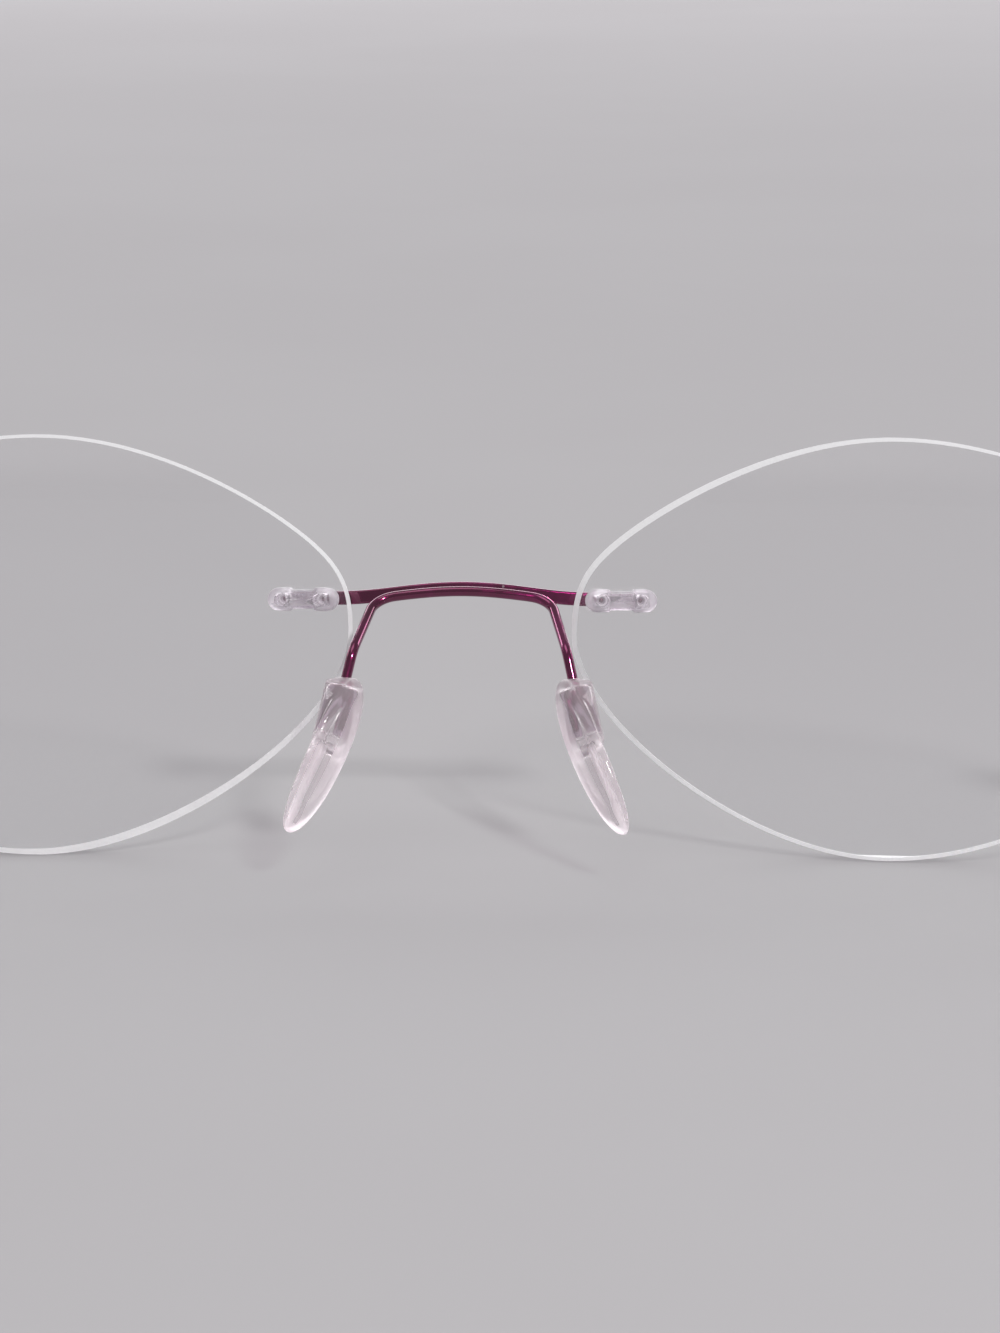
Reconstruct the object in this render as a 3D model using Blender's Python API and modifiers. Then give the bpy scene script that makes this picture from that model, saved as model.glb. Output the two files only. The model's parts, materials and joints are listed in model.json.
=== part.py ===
# Rimless eyeglasses: two lenses drilled for an arched bridge bar and two hinged temples.
# The front of the glasses faces -Y, the temples run back along +Y and +Z is up.
# The left side, as worn, is at +X. The glasses stand on their lenses and temple tips at z = 0.

import math

import bmesh
import bpy
from mathutils import Matrix, Vector

MM = 0.001
SIDES = {"left": 1, "right": -1}

# Lenses
LENS_WIDTH = 52.0 * MM
LENS_HEIGHT = 34.8 * MM
WIDEST_LEVEL = 1.0 * MM  # above the middle of the height
SHOULDER_IN = 5.6 * MM  # upper nasal shoulder, from the nasal extreme
SHOULDER_DOWN = 7.0 * MM  # the same shoulder, from the top
SHOULDER_SLOPE = math.radians(34.8)
SHOULDER_ROUND = 5.9 * MM  # handle lengths of the outline's curves
TOP_ROUND_NASAL = 7.7 * MM
TOP_ROUND_TEMPORAL = 12.0 * MM
BOTTOM_ROUND_NASAL = 11.6 * MM
BOTTOM_ROUND_TEMPORAL = 12.5 * MM
NASAL_ROUND_UP = 4.0 * MM
NASAL_ROUND_DOWN = 7.0 * MM
TEMPORAL_ROUND = 9.0 * MM
LENS_THICKNESS = 2.0 * MM
LENS_FRONT_RADIUS = 106.0 * MM
LENS_BACK_RADIUS = 100.0 * MM
BRIDGE_GAP = 18.0 * MM  # between the lenses

# Angles of the front and of its stance
WRAP = math.radians(4.0)
PANTOSCOPIC = math.radians(8.5)  # lens plane against the temples
REST_SLOPE = math.radians(3.5)  # temples against the table
TILT = PANTOSCOPIC + REST_SLOPE
REST_FLAT = 0.25 * MM  # depth of the flats that meet the table

# Drilled fixings
HOLE_SPACING = 3.25 * MM
HOLE_INSET = 3.5 * MM  # lens edge to the middle of its pair of holes
PIN_RADIUS = 0.25 * MM
SLEEVE_WALL = 0.22 * MM
FIT_GAP = 0.05 * MM  # around pins, screws and wires
SEAT_GAP = 0.1 * MM  # under plates and plugs
PLUG_LENGTH = 5.9 * MM
PLUG_HEIGHT = 1.9 * MM
PLUG_WAIST = 1.54 * MM
PLUG_END_LENGTH = 1.85 * MM  # full height from each end to the neck
PLUG_NECK = 0.25 * MM
PLUG_THICKNESS = 1.1 * MM
PLUG_ROUND = 0.22 * MM
PIN_RECESS = 0.2 * MM  # pin ends lie this deep in the plug

# Bridge bar and endpieces
BAR_HEIGHT = 1.15 * MM
BAR_THICKNESS = 0.7 * MM
BAR_CORNER = 0.2 * MM
BAR_LEVEL = 4.0 * MM  # above the middle of the lenses
BRIDGE_RISE = 0.8 * MM
PLATE_OVERHANG = 0.8 * MM  # bar past its pins, towards the lens middle
PLATE_RUN = 1.2 * MM  # straight bar past its pins, towards the nose
HINGE_OUTREACH = 5.0 * MM  # hinge axis beyond the temporal edge of the lens
HINGE_SETBACK = 10.5 * MM  # endpiece corner to hinge axis
ENDPIECE_BEND = 4.0 * MM

# Nose pads and the wire that holds them
WIRE_RADIUS = 0.42 * MM
WIRE_DROP = 0.22 * MM  # wire centre below bar centre
CORNER_OUT = 7.25 * MM  # corners, knees and ends of the wire from the mid-plane
CORNER_DROP = 0.26 * MM  # the same below the bar's centre
KNEE_OUT = 8.72 * MM
KNEE_BACK = 7.6 * MM  # behind the front of the lenses
KNEE_DROP = 4.25 * MM
END_OUT = 9.8 * MM
END_BACK = 8.6 * MM
END_DROP = 9.1 * MM
CORNER_BEND = 2.0 * MM
KNEE_BEND = 2.2 * MM
PAD_LENGTH = 14.0 * MM
PAD_WIDTH = 4.9 * MM
PAD_THICKNESS = 1.7 * MM
PAD_FULLNESS = 2.3  # exponent of the pad's outline, 2 for an ellipse
PAD_TAPER = 0.08  # narrowing of the pad towards its bottom
PAD_CURL = 1.4 * MM  # how far the pad's bottom curves away from the nose
PAD_TOP_MARGIN = 1.95 * MM  # knee to the pad's top edge, along the wire
PAD_TURN = math.radians(27.0)  # pad face against the mid-plane
PAD_LEAN = math.radians(11.3)  # pad's length against the wire's end, seen on its face
PAD_OFFSET = 0.9 * MM  # pad's middle in front of the wire's end
PAD_SHIFT = 1.14 * MM  # pad's middle behind the wire's end
CORE_LENGTH = 5.0 * MM
CORE_WIDTH = 2.4 * MM
CORE_THICKNESS = 1.3 * MM
CORE_TOP_MARGIN = 0.75 * MM
CORE_ROUND = 0.25 * MM
HOUSING_WALL = 0.4 * MM  # silicone round the core

# Hinges
KNUCKLE_RADIUS = 1.1 * MM
OUTER_KNUCKLE = 1.0 * MM
MIDDLE_KNUCKLE = 1.3 * MM
KNUCKLE_GAP = 0.1 * MM
SWING_GAP = 0.2 * MM  # around knuckles that pass a block
HINGE_BLOCK_DEPTH = 2.7 * MM
HINGE_BLOCK_WIDTH = 1.5 * MM
SCREW_RADIUS = 0.4 * MM
SCREW_HEAD_RADIUS = 0.8 * MM
SCREW_HEAD_HEIGHT = 0.4 * MM
SCREW_SLOT_WIDTH = 0.22 * MM
SCREW_SLOT_DEPTH = 0.2 * MM

# Temples
TEMPLE_WIRE_RADIUS = 0.65 * MM
TEMPLE_STRAIGHT = 95.0 * MM  # hinge axis to the ear bend
TEMPLE_HOOK = 45.0 * MM  # ear bend to the end of the tip
EAR_BEND = 28.0 * MM
FERRULE_LENGTH = 6.0 * MM
FERRULE_END_RADIUS = 0.95 * MM
SOCKET_DEPTH = 4.0 * MM
TIP_LEAD = 4.0 * MM  # tip starts this far before the ear bend begins
TIP_START_RADIUS = 1.15 * MM
TIP_END_RADIUS = 1.95 * MM
TIP_ROUND = 1.2 * MM
TIP_END_WALL = 3.0 * MM  # solid plastic past the end of the wire
TIP_TOE_IN = 2.5 * MM

# Values that follow from the sizes above
LENS_HALF_HEIGHT = LENS_HEIGHT / 2
HINGE_OFFSET = LENS_WIDTH + BRIDGE_GAP / 2 + HINGE_OUTREACH
HOLE_OFFSET = LENS_WIDTH / 2 - HOLE_INSET
SLEEVE_RADIUS = PIN_RADIUS + FIT_GAP + SLEEVE_WALL
WIRE_KNEE = Vector((KNEE_OUT, KNEE_BACK, BAR_LEVEL - KNEE_DROP))
WIRE_END = Vector((END_OUT, END_BACK, BAR_LEVEL - END_DROP))
HINGE_HEIGHT = 2 * OUTER_KNUCKLE + MIDDLE_KNUCKLE + 2 * KNUCKLE_GAP

# How the shapes are divided
ROUND_SIDES = 24
BORE_SIDES = 20
PIN_SIDES = 16
SLOT_SIDES = 32
LENS_RINGS = 6
LENS_SIDES = 48
OUTLINE_STEPS = 12
LOBE_STEPS = 10
BEND_STEPS = 7
BRIDGE_STEPS = 20
WIRE_STEPS = 8
PAD_SIDES = 24
PAD_RINGS = 16
PATH_SPACING = 2.5 * MM
END_ANGLES = (25, 48, 68, 82)  # rings of a tip's rounded end, in degrees
SMOOTH_LIMIT = math.radians(35)
EDGE_LIMIT = math.radians(60)
WELD_DISTANCE = 0.0005 * MM
CUT_MARGIN = 4.0 * MM  # cutters run this far past what they cut
TABLE_SIZE = 400.0 * MM
TABLE_DEPTH = 100.0 * MM


# Scene and object helpers

def clear_scene():
    for old in list(bpy.data.objects):
        bpy.data.objects.remove(old, do_unlink=True)


def new_collection(name):
    collection = bpy.data.collections.new(name)
    bpy.context.scene.collection.children.link(collection)
    return collection


def link_node(name, mesh, material, parent):
    """Put a mesh in the object's collection as one named sub-part."""
    node = bpy.data.objects.new(name, mesh)
    node.parent = parent
    mesh.materials.append(material)
    PARTS.objects.link(node)
    return node


def link_guide(name, mesh, parent):
    """Put a mesh among the shapes that are only joined to, or cut from, the sub-parts."""
    guide = bpy.data.objects.new(name, mesh)
    guide.parent = parent
    guide.hide_render = True
    guide.display_type = "WIRE"
    GUIDES.objects.link(guide)
    return guide


def new_empty(name, parent=None, location=(0, 0, 0), rotation=(0, 0, 0)):
    empty = bpy.data.objects.new(name, None)
    empty.empty_display_size = 5 * MM
    empty.parent = parent
    empty.location = location
    empty.rotation_euler = rotation
    GUIDES.objects.link(empty)
    return empty


def boolean(node, guide, operation):
    modifier = node.modifiers.new(operation.title() + " " + guide.name, "BOOLEAN")
    modifier.operation = operation
    modifier.solver = "EXACT"
    modifier.object = guide


def round_edges(shape, width, segments):
    modifier = shape.modifiers.new("Rounded edges", "BEVEL")
    modifier.width = width
    modifier.segments = segments
    modifier.limit_method = "ANGLE"
    modifier.angle_limit = EDGE_LIMIT


def material(name, colour, roughness, metallic=0.0, transmission=0.0, ior=1.5):
    finish = bpy.data.materials.new(name)
    finish.use_nodes = True
    shader = finish.node_tree.nodes["Principled BSDF"]
    shader.inputs["Base Color"].default_value = (*colour, 1.0)
    shader.inputs["Roughness"].default_value = roughness
    shader.inputs["Metallic"].default_value = metallic
    shader.inputs["Transmission Weight"].default_value = transmission
    shader.inputs["IOR"].default_value = ior
    finish.diffuse_color = (*colour, 1.0)
    return finish


def clear_lens(side):
    return material("clear_lens_" + side, (0.93, 0.94, 0.93), 0.03, transmission=1.0, ior=1.5)


def plum_metal(name):
    return material("plum_metal_" + name, (0.13, 0.015, 0.05), 0.22, metallic=1.0)


def clear_plastic(name):
    return material("clear_plastic_" + name, (0.88, 0.82, 0.87), 0.12, transmission=0.85)


def clear_silicone(name):
    return material("clear_silicone_" + name, (0.93, 0.88, 0.91), 0.2, transmission=0.9, ior=1.41)


def bright_steel(name):
    return material("bright_steel_" + name, (0.62, 0.6, 0.62), 0.25, metallic=1.0)


def plum_plastic(name):
    return material("plum_plastic_" + name, (0.16, 0.03, 0.08), 0.3)


# Mesh helpers

def mesh_from_bmesh(name, bm):
    bmesh.ops.recalc_face_normals(bm, faces=bm.faces)
    mesh = bpy.data.meshes.new(name)
    bm.to_mesh(mesh)
    bm.free()
    mesh.shade_smooth()
    mesh.set_sharp_from_angle(angle=SMOOTH_LIMIT)
    return mesh


def mesh_from_curve(curve_object):
    """Turn a curve into a welded mesh with outward faces, and remove the curve."""
    bpy.context.view_layer.update()
    graph = bpy.context.evaluated_depsgraph_get()
    raw = bpy.data.meshes.new_from_object(curve_object.evaluated_get(graph))
    bm = bmesh.new()
    bm.from_mesh(raw)
    bmesh.ops.remove_doubles(bm, verts=bm.verts, dist=WELD_DISTANCE)
    name = curve_object.name
    bpy.data.objects.remove(curve_object, do_unlink=True)
    bpy.data.meshes.remove(raw)
    return mesh_from_bmesh(name, bm)


def cylinder_mesh(name, radius, length, sides=ROUND_SIDES, end_radius=None):
    """A cylinder or cone along z, centred on its length."""
    bm = bmesh.new()
    top = radius if end_radius is None else end_radius
    bmesh.ops.create_cone(bm, cap_ends=True, segments=sides, radius1=radius, radius2=top, depth=length)
    return mesh_from_bmesh(name, bm)


def box_mesh(name, size):
    bm = bmesh.new()
    bmesh.ops.create_cube(bm, size=1.0)
    bmesh.ops.scale(bm, vec=size, verts=bm.verts)
    return mesh_from_bmesh(name, bm)


def flat_curve(name, depth):
    """An empty 2D curve that fills its outlines and extrudes them by depth, centred on z = 0."""
    curve = bpy.data.curves.new(name, "CURVE")
    curve.dimensions = "2D"
    curve.fill_mode = "BOTH"
    curve.extrude = depth / 2
    return curve


def linked_curve(curve):
    curve_object = bpy.data.objects.new(curve.name, curve)
    GUIDES.objects.link(curve_object)
    return curve_object


def flat_poly_mesh(name, outline, depth):
    curve = flat_curve(name, depth)
    spline = curve.splines.new("POLY")
    spline.points.add(len(outline) - 1)
    for knot, (x, y) in zip(spline.points, outline):
        knot.co = (x, y, 0.0, 1.0)
    spline.use_cyclic_u = True
    return mesh_from_curve(linked_curve(curve))


def flat_bezier_mesh(name, knots, depth):
    """As flat_poly_mesh, from knots given as a point, a direction and two handle lengths."""
    curve = flat_curve(name, depth)
    curve.resolution_u = OUTLINE_STEPS
    spline = curve.splines.new("BEZIER")
    spline.bezier_points.add(len(knots) - 1)
    for knot, (middle, direction, before, after) in zip(spline.bezier_points, knots):
        knot.co = middle
        knot.handle_left = middle - direction * before
        knot.handle_right = middle + direction * after
    spline.use_cyclic_u = True
    return mesh_from_curve(linked_curve(curve))


def tube_mesh(name, path, radius, resolution=2, swell=None):
    """A round wire along a path, with a swell factor at each point where it isn't even."""
    curve = path_curve(name, path, swell)
    curve.bevel_depth = radius
    curve.bevel_resolution = resolution
    return mesh_from_curve(linked_curve(curve))


def bar_mesh(name, path):
    """A flat bar with rounded corners along a path, its height upright."""
    profile = bpy.data.curves.new(name + "_profile", "CURVE")
    profile.dimensions = "2D"
    spline = profile.splines.new("POLY")
    outline = rounded_rectangle(BAR_THICKNESS, BAR_HEIGHT, BAR_CORNER)
    spline.points.add(len(outline) - 1)
    for knot, (x, y) in zip(spline.points, outline):
        knot.co = (x, y, 0.0, 1.0)
    spline.use_cyclic_u = True
    profile_object = linked_curve(profile)
    curve = path_curve(name, path)
    curve.twist_mode = "Z_UP"
    curve.bevel_mode = "OBJECT"
    curve.bevel_object = profile_object
    mesh = mesh_from_curve(linked_curve(curve))
    bpy.data.objects.remove(profile_object, do_unlink=True)
    return mesh


def path_curve(name, path, swell=None):
    curve = bpy.data.curves.new(name, "CURVE")
    curve.dimensions = "3D"
    curve.use_fill_caps = True
    spline = curve.splines.new("POLY")
    spline.points.add(len(path) - 1)
    for number, point in enumerate(path):
        spline.points[number].co = (*point, 1.0)
        spline.points[number].radius = 1.0 if swell is None else swell[number]
    return curve


def rounded_rectangle(width, height, corner, arc_steps=2):
    outline = []
    for quarter, (sign_x, sign_y) in enumerate(((1, 1), (-1, 1), (-1, -1), (1, -1))):
        centre_x = sign_x * (width / 2 - corner)
        centre_y = sign_y * (height / 2 - corner)
        for step in range(arc_steps + 1):
            angle = math.radians(90) * (quarter + step / arc_steps)
            outline.append((centre_x + corner * math.cos(angle), centre_y + corner * math.sin(angle)))
    return outline


def rounded_path(corners, bends):
    """Straight runs between corners, each corner turned by an arc of its bend radius."""
    path = [corners[0]]
    for before, corner, after, bend in zip(corners, corners[1:], corners[2:], bends):
        inward = (before - corner).normalized()
        outward = (after - corner).normalized()
        half = inward.angle(outward) / 2
        centre = corner + (inward + outward).normalized() * (bend / math.sin(half))
        start = (corner + inward * (bend / math.tan(half)) - centre).normalized()
        end = (corner + outward * (bend / math.tan(half)) - centre).normalized()
        for step in range(BEND_STEPS + 1):
            path.append(centre + start.slerp(end, step / BEND_STEPS) * bend)
    path.append(corners[-1])
    return path


# Frames that the pieces are placed in

def front_sag(distance):
    return LENS_FRONT_RADIUS - math.sqrt(LENS_FRONT_RADIUS ** 2 - distance ** 2)


def back_sag(distance):
    return LENS_BACK_RADIUS - math.sqrt(LENS_BACK_RADIUS ** 2 - distance ** 2)


def front_height():
    """Height of the lens middle where the lens bottoms sink REST_FLAT into the table."""
    edge_depth = front_sag(LENS_HALF_HEIGHT)
    return LENS_HALF_HEIGHT * math.cos(TILT) - edge_depth * math.sin(TILT) - REST_FLAT


def lens_centre():
    """Half the distance between the lens middles, with BRIDGE_GAP between the turned lenses."""
    back_edge = LENS_THICKNESS + back_sag(LENS_WIDTH / 2)
    return BRIDGE_GAP / 2 + LENS_WIDTH / 2 * math.cos(WRAP) + back_edge * math.sin(WRAP)


def lens_matrix(sign):
    """Lens frame in the front's frame: origin at the front vertex, y through the lens to the back."""
    return Matrix.Translation((sign * lens_centre(), 0, 0)) @ Matrix.Rotation(sign * WRAP, 4, "Z")


def mount_matrix(sign, place):
    """Frame of a pair of holes in the front's frame: y runs into the lens, square to its front."""
    offset = place * sign * HOLE_OFFSET
    depth = front_sag(math.hypot(HOLE_OFFSET, BAR_LEVEL))
    turn = Matrix.Rotation(math.asin(offset / LENS_FRONT_RADIUS), 4, "Z")
    lean = Matrix.Rotation(-math.asin(BAR_LEVEL / LENS_FRONT_RADIUS), 4, "X")
    return lens_matrix(sign) @ Matrix.Translation((offset, depth, BAR_LEVEL)) @ turn @ lean


def lens_thickness_at_holes():
    distance = math.hypot(HOLE_OFFSET, BAR_LEVEL)
    along_y = LENS_THICKNESS + back_sag(distance) - front_sag(distance)
    return along_y * math.cos(math.asin(HOLE_OFFSET / LENS_FRONT_RADIUS))


def plate_point(sign, place, outward):
    """Point on the bar's centre line, a distance from the holes away from the lens middle."""
    line = Vector((place * sign * outward, -SEAT_GAP - BAR_THICKNESS / 2, 0))
    return mount_matrix(sign, place) @ line


def bridge_exit():
    """Where the bridge leaves the straight plate on the left lens."""
    return plate_point(1, -1, HOLE_SPACING / 2 + PLATE_RUN)


def bridge_point(x):
    """Centre line of the bridge at x: it leaves both plates smoothly and arches between them."""
    exit_point = bridge_exit()
    pin = plate_point(1, -1, HOLE_SPACING / 2)
    slope = (exit_point.y - pin.y) / (pin.x - exit_point.x)
    share = 1 - (x / exit_point.x) ** 2
    bow = slope * exit_point.x / 2
    return Vector((x, exit_point.y + bow * share, exit_point.z + BRIDGE_RISE * share ** 2))


def endpiece_corner(sign):
    """Where the line of the temporal plate reaches the width of the hinge."""
    near = plate_point(1, 1, 0)
    far = plate_point(1, 1, HOLE_INSET)
    run = (HINGE_OFFSET - near.x) / (far.x - near.x)
    corner = near + (far - near) * run
    return Vector((sign * corner.x, corner.y, corner.z))


def hinge_point(sign):
    leg = Vector((0, math.cos(PANTOSCOPIC), -math.sin(PANTOSCOPIC))) * HINGE_SETBACK
    return endpiece_corner(sign) + leg


def hook_angle():
    """Downward turn of the temple at the ear, so that the rounded end of the tip meets the table."""
    hinge = hinge_point(1)
    hinge_height = front_height() + hinge.y * math.sin(TILT) + hinge.z * math.cos(TILT)
    drop = hinge_height + TEMPLE_STRAIGHT * math.sin(REST_SLOPE) + REST_FLAT
    hook = TEMPLE_HOOK - TIP_ROUND
    slope = math.asin(drop / hook)
    for _ in range(8):
        underside = math.hypot(TIP_ROUND * math.sin(slope), TIP_END_RADIUS * math.cos(slope))
        slope = math.asin((drop - underside) / hook)
    return slope + REST_SLOPE


def mirrored(vector, sign):
    return Vector((sign * vector.x, vector.y, vector.z))


def pad_matrix(sign):
    """Pad frame: z up the wire's end, x out of the pad's face, origin at the wire's knee."""
    up = mirrored(WIRE_KNEE - WIRE_END, sign).normalized()
    facing = Vector((-sign * math.cos(PAD_TURN), math.sin(PAD_TURN), 0))
    facing = (facing - up * facing.dot(up)).normalized()
    turn = Matrix((facing, up.cross(facing), up)).transposed().to_4x4()
    return Matrix.Translation(mirrored(WIRE_KNEE, sign)) @ turn


# Lenses and their fixings

def make_lens_shell(side, frame):
    """A dished disc between the front and back spheres, turned about the lens's axis."""
    rim = LENS_WIDTH / 2 + CUT_MARGIN
    reach = [rim * ring / LENS_RINGS for ring in range(LENS_RINGS + 1)]
    profile = [(x, 0, LENS_THICKNESS + back_sag(x)) for x in reach]
    profile += [(x, 0, front_sag(x)) for x in reversed(reach)]
    mesh = bpy.data.meshes.new("lens_shell")
    mesh.from_pydata(profile, [(n, n + 1) for n in range(len(profile) - 1)], [])
    shell = link_guide("lens_shell_" + side, mesh, frame)
    shell.rotation_euler = (math.radians(-90), 0, 0)
    screw = shell.modifiers.new("Turned", "SCREW")
    screw.axis = "Z"
    screw.steps = LENS_SIDES
    screw.render_steps = LENS_SIDES
    screw.use_merge_vertices = True
    screw.merge_threshold = WELD_DISTANCE
    return shell


def lens_outline(sign):
    """Knots of the outline from the top round by the nasal side, each with its direction and handles."""
    half = LENS_WIDTH / 2
    nasal = -sign
    slope = Vector((nasal * math.cos(SHOULDER_SLOPE), -math.sin(SHOULDER_SLOPE), 0))
    shoulder = Vector((nasal * (half - SHOULDER_IN), LENS_HALF_HEIGHT - SHOULDER_DOWN, 0))
    down = Vector((0, -1, 0))
    across = Vector((nasal, 0, 0))
    return [
        (Vector((0, LENS_HALF_HEIGHT, 0)), across, TOP_ROUND_TEMPORAL, TOP_ROUND_NASAL),
        (shoulder, slope, SHOULDER_ROUND, SHOULDER_ROUND),
        (Vector((nasal * half, WIDEST_LEVEL, 0)), down, NASAL_ROUND_UP, NASAL_ROUND_DOWN),
        (Vector((0, -LENS_HALF_HEIGHT, 0)), -across, BOTTOM_ROUND_NASAL, BOTTOM_ROUND_TEMPORAL),
        (Vector((-nasal * half, WIDEST_LEVEL, 0)), -down, TEMPORAL_ROUND, TEMPORAL_ROUND),
    ]


def make_lens(side, sign, frame, mounts, table):
    depth = LENS_THICKNESS + back_sag(LENS_WIDTH / 2 + CUT_MARGIN) + CUT_MARGIN
    mesh = flat_bezier_mesh("lens_outline", lens_outline(sign), 2 * depth)
    lens = link_node("lens_" + side, mesh, clear_lens(side), frame)
    lens.rotation_euler = (math.radians(90), 0, 0)
    boolean(lens, make_lens_shell(side, frame), "INTERSECT")
    for place, mount in mounts.items():
        for end in (-1, 1):
            name = "hole_" + side + "_" + place + ("_outer" if end > 0 else "_inner")
            length = 2 * (LENS_THICKNESS + CUT_MARGIN)
            hole = link_guide(name, cylinder_mesh(name, SLEEVE_RADIUS + FIT_GAP, length, BORE_SIDES), mount)
            hole.location = (end * HOLE_SPACING / 2, 0, 0)
            hole.rotation_euler = (math.radians(90), 0, 0)
            boolean(lens, hole, "DIFFERENCE")
    boolean(lens, table, "DIFFERENCE")


def plug_outline():
    """Two round ends joined by a slightly narrower waist."""
    lobe = PLUG_HEIGHT / 2
    centre = PLUG_LENGTH / 2 - lobe
    waist = PLUG_WAIST / 2
    neck_start = PLUG_LENGTH / 2 - PLUG_END_LENGTH
    neck_end = neck_start - PLUG_NECK
    outline = []
    for sign in (1, -1):
        for step in range(LOBE_STEPS + 1):
            angle = math.radians(-90 + 180 * step / LOBE_STEPS)
            outline.append((sign * (centre + lobe * math.cos(angle)), sign * lobe * math.sin(angle)))
        outline.append((sign * neck_start, sign * lobe))
        outline.append((sign * neck_end, sign * waist))
        outline.append((-sign * neck_end, sign * waist))
        outline.append((-sign * neck_start, sign * lobe))
    return outline


def make_plug(name, mount):
    """Clear plug behind the lens, with a sleeve through each hole and a bore for each pin."""
    thickness = lens_thickness_at_holes()
    mesh = flat_poly_mesh(name, plug_outline(), PLUG_THICKNESS)
    plug = link_node(name, mesh, clear_plastic(name), mount)
    plug.rotation_euler = (math.radians(90), 0, 0)
    plug.location = (0, thickness + SEAT_GAP + PLUG_THICKNESS / 2, 0)
    round_edges(plug, PLUG_ROUND, 2)
    for end in (-1, 1):
        label = name + ("_outer" if end > 0 else "_inner")
        sleeve_length = thickness + SEAT_GAP + PLUG_THICKNESS / 2
        mesh = cylinder_mesh(label, SLEEVE_RADIUS, sleeve_length, BORE_SIDES)
        sleeve = link_guide(label + "_sleeve", mesh, mount)
        sleeve.location = (end * HOLE_SPACING / 2, sleeve_length / 2, 0)
        sleeve.rotation_euler = (math.radians(90), 0, 0)
        boolean(plug, sleeve, "UNION")
    for end in (-1, 1):
        label = name + ("_outer" if end > 0 else "_inner")
        length = 2 * (thickness + PLUG_THICKNESS + CUT_MARGIN)
        mesh = cylinder_mesh(label, PIN_RADIUS + FIT_GAP, length, PIN_SIDES)
        bore = link_guide(label + "_bore", mesh, mount)
        bore.location = (end * HOLE_SPACING / 2, 0, 0)
        bore.rotation_euler = (math.radians(90), 0, 0)
        boolean(plug, bore, "DIFFERENCE")


def add_pins(bar, name, mount):
    """Two pins from the bar's centre line through the lens and into the plug."""
    start = -SEAT_GAP - BAR_THICKNESS / 2
    finish = lens_thickness_at_holes() + SEAT_GAP + PLUG_THICKNESS - PIN_RECESS
    for end in (-1, 1):
        label = name + ("_pin_outer" if end > 0 else "_pin_inner")
        pin = link_guide(label, cylinder_mesh(label, PIN_RADIUS, finish - start, PIN_SIDES), mount)
        pin.location = (end * HOLE_SPACING / 2, (start + finish) / 2, 0)
        pin.rotation_euler = (math.radians(90), 0, 0)
        boolean(bar, pin, "UNION")


# Bridge, pad wire and pads

def plate_start():
    """How far the bar runs past the holes towards the lens middle."""
    return HOLE_SPACING / 2 + PLATE_OVERHANG


def make_bridge(front, mounts):
    exit_x = bridge_exit().x
    arch = [bridge_point(exit_x * (1 - 2 * step / BRIDGE_STEPS)) for step in range(BRIDGE_STEPS + 1)]
    path = [plate_point(1, -1, -plate_start()), *arch, plate_point(-1, -1, -plate_start())]
    bar = link_node("bridge_bar", bar_mesh("bridge_bar", path), plum_metal("bridge"), front)
    for side in SIDES:
        add_pins(bar, "bridge_" + side, mounts[side]["nasal"])


def wire_on_bar(x, drop):
    """Point of the wire behind the bridge bar at x."""
    behind = BAR_THICKNESS / 2 + FIT_GAP + WIRE_RADIUS
    return bridge_point(x) + Vector((0, behind, -drop))


def make_pad_wire(front):
    """One wire along the back of the bridge, turned down at both ends to carry the pads."""
    inner = CORNER_OUT - CORNER_BEND
    along = [wire_on_bar(inner * (1 - 2 * step / WIRE_STEPS), WIRE_DROP) for step in range(WIRE_STEPS + 1)]
    corner = wire_on_bar(CORNER_OUT, CORNER_DROP)
    left = rounded_path([WIRE_END.copy(), WIRE_KNEE.copy(), corner, along[0]], [KNEE_BEND, CORNER_BEND])
    right = [mirrored(point, -1) for point in reversed(left)]
    path = left[:-1] + along + right[1:]
    mesh = tube_mesh("pad_arm_wire", path, WIRE_RADIUS)
    link_node("pad_arm_wire", mesh, plum_metal("pad_wire"), front)


def pad_blank_mesh():
    """Flattened ball with a full outline, narrower at its bottom and curved along its length."""
    bm = bmesh.new()
    bmesh.ops.create_uvsphere(bm, u_segments=PAD_SIDES, v_segments=PAD_RINGS, radius=1.0)
    for vert in bm.verts:
        level = min(abs(vert.co.z), 0.999)
        fuller = (1 - level ** PAD_FULLNESS) ** (1 / PAD_FULLNESS) / math.sqrt(1 - level ** 2)
        vert.co.x *= fuller * PAD_THICKNESS / 2
        vert.co.y *= fuller * (1 + PAD_TAPER * vert.co.z) * PAD_WIDTH / 2
        vert.co.x -= PAD_CURL * ((1 - vert.co.z) / 2) ** 2
        vert.co.z *= PAD_LENGTH / 2
    return mesh_from_bmesh("nose_pad", bm)


def make_pad(side, sign, frame, bore):
    """Clear pad with its face towards the nose, and a housing round the core on the wire's end."""
    pad = link_node("nose_pad_" + side, pad_blank_mesh(), clear_silicone(side), frame)
    pad.location = (PAD_OFFSET, -sign * PAD_SHIFT, -PAD_TOP_MARGIN - PAD_LENGTH / 2)
    pad.rotation_euler.x = -sign * PAD_LEAN
    wall = 2 * HOUSING_WALL
    size = (CORE_THICKNESS + wall, CORE_WIDTH + wall, CORE_LENGTH + wall)
    housing = link_guide("pad_housing_" + side, box_mesh("pad_housing", size), frame)
    housing.location = (0, 0, core_middle())
    round_edges(housing, 2 * HOUSING_WALL, 3)
    boolean(pad, housing, "UNION")
    gap = 2 * FIT_GAP
    size = (CORE_THICKNESS + gap, CORE_WIDTH + gap, CORE_LENGTH + gap)
    pocket = link_guide("pad_pocket_" + side, box_mesh("pad_pocket", size), frame)
    pocket.location = (0, 0, core_middle())
    boolean(pad, pocket, "DIFFERENCE")
    boolean(pad, bore, "DIFFERENCE")


def core_middle():
    """Level of the core's middle along the wire's end, below the knee."""
    return -PAD_TOP_MARGIN - CORE_TOP_MARGIN - CORE_LENGTH / 2


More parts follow.
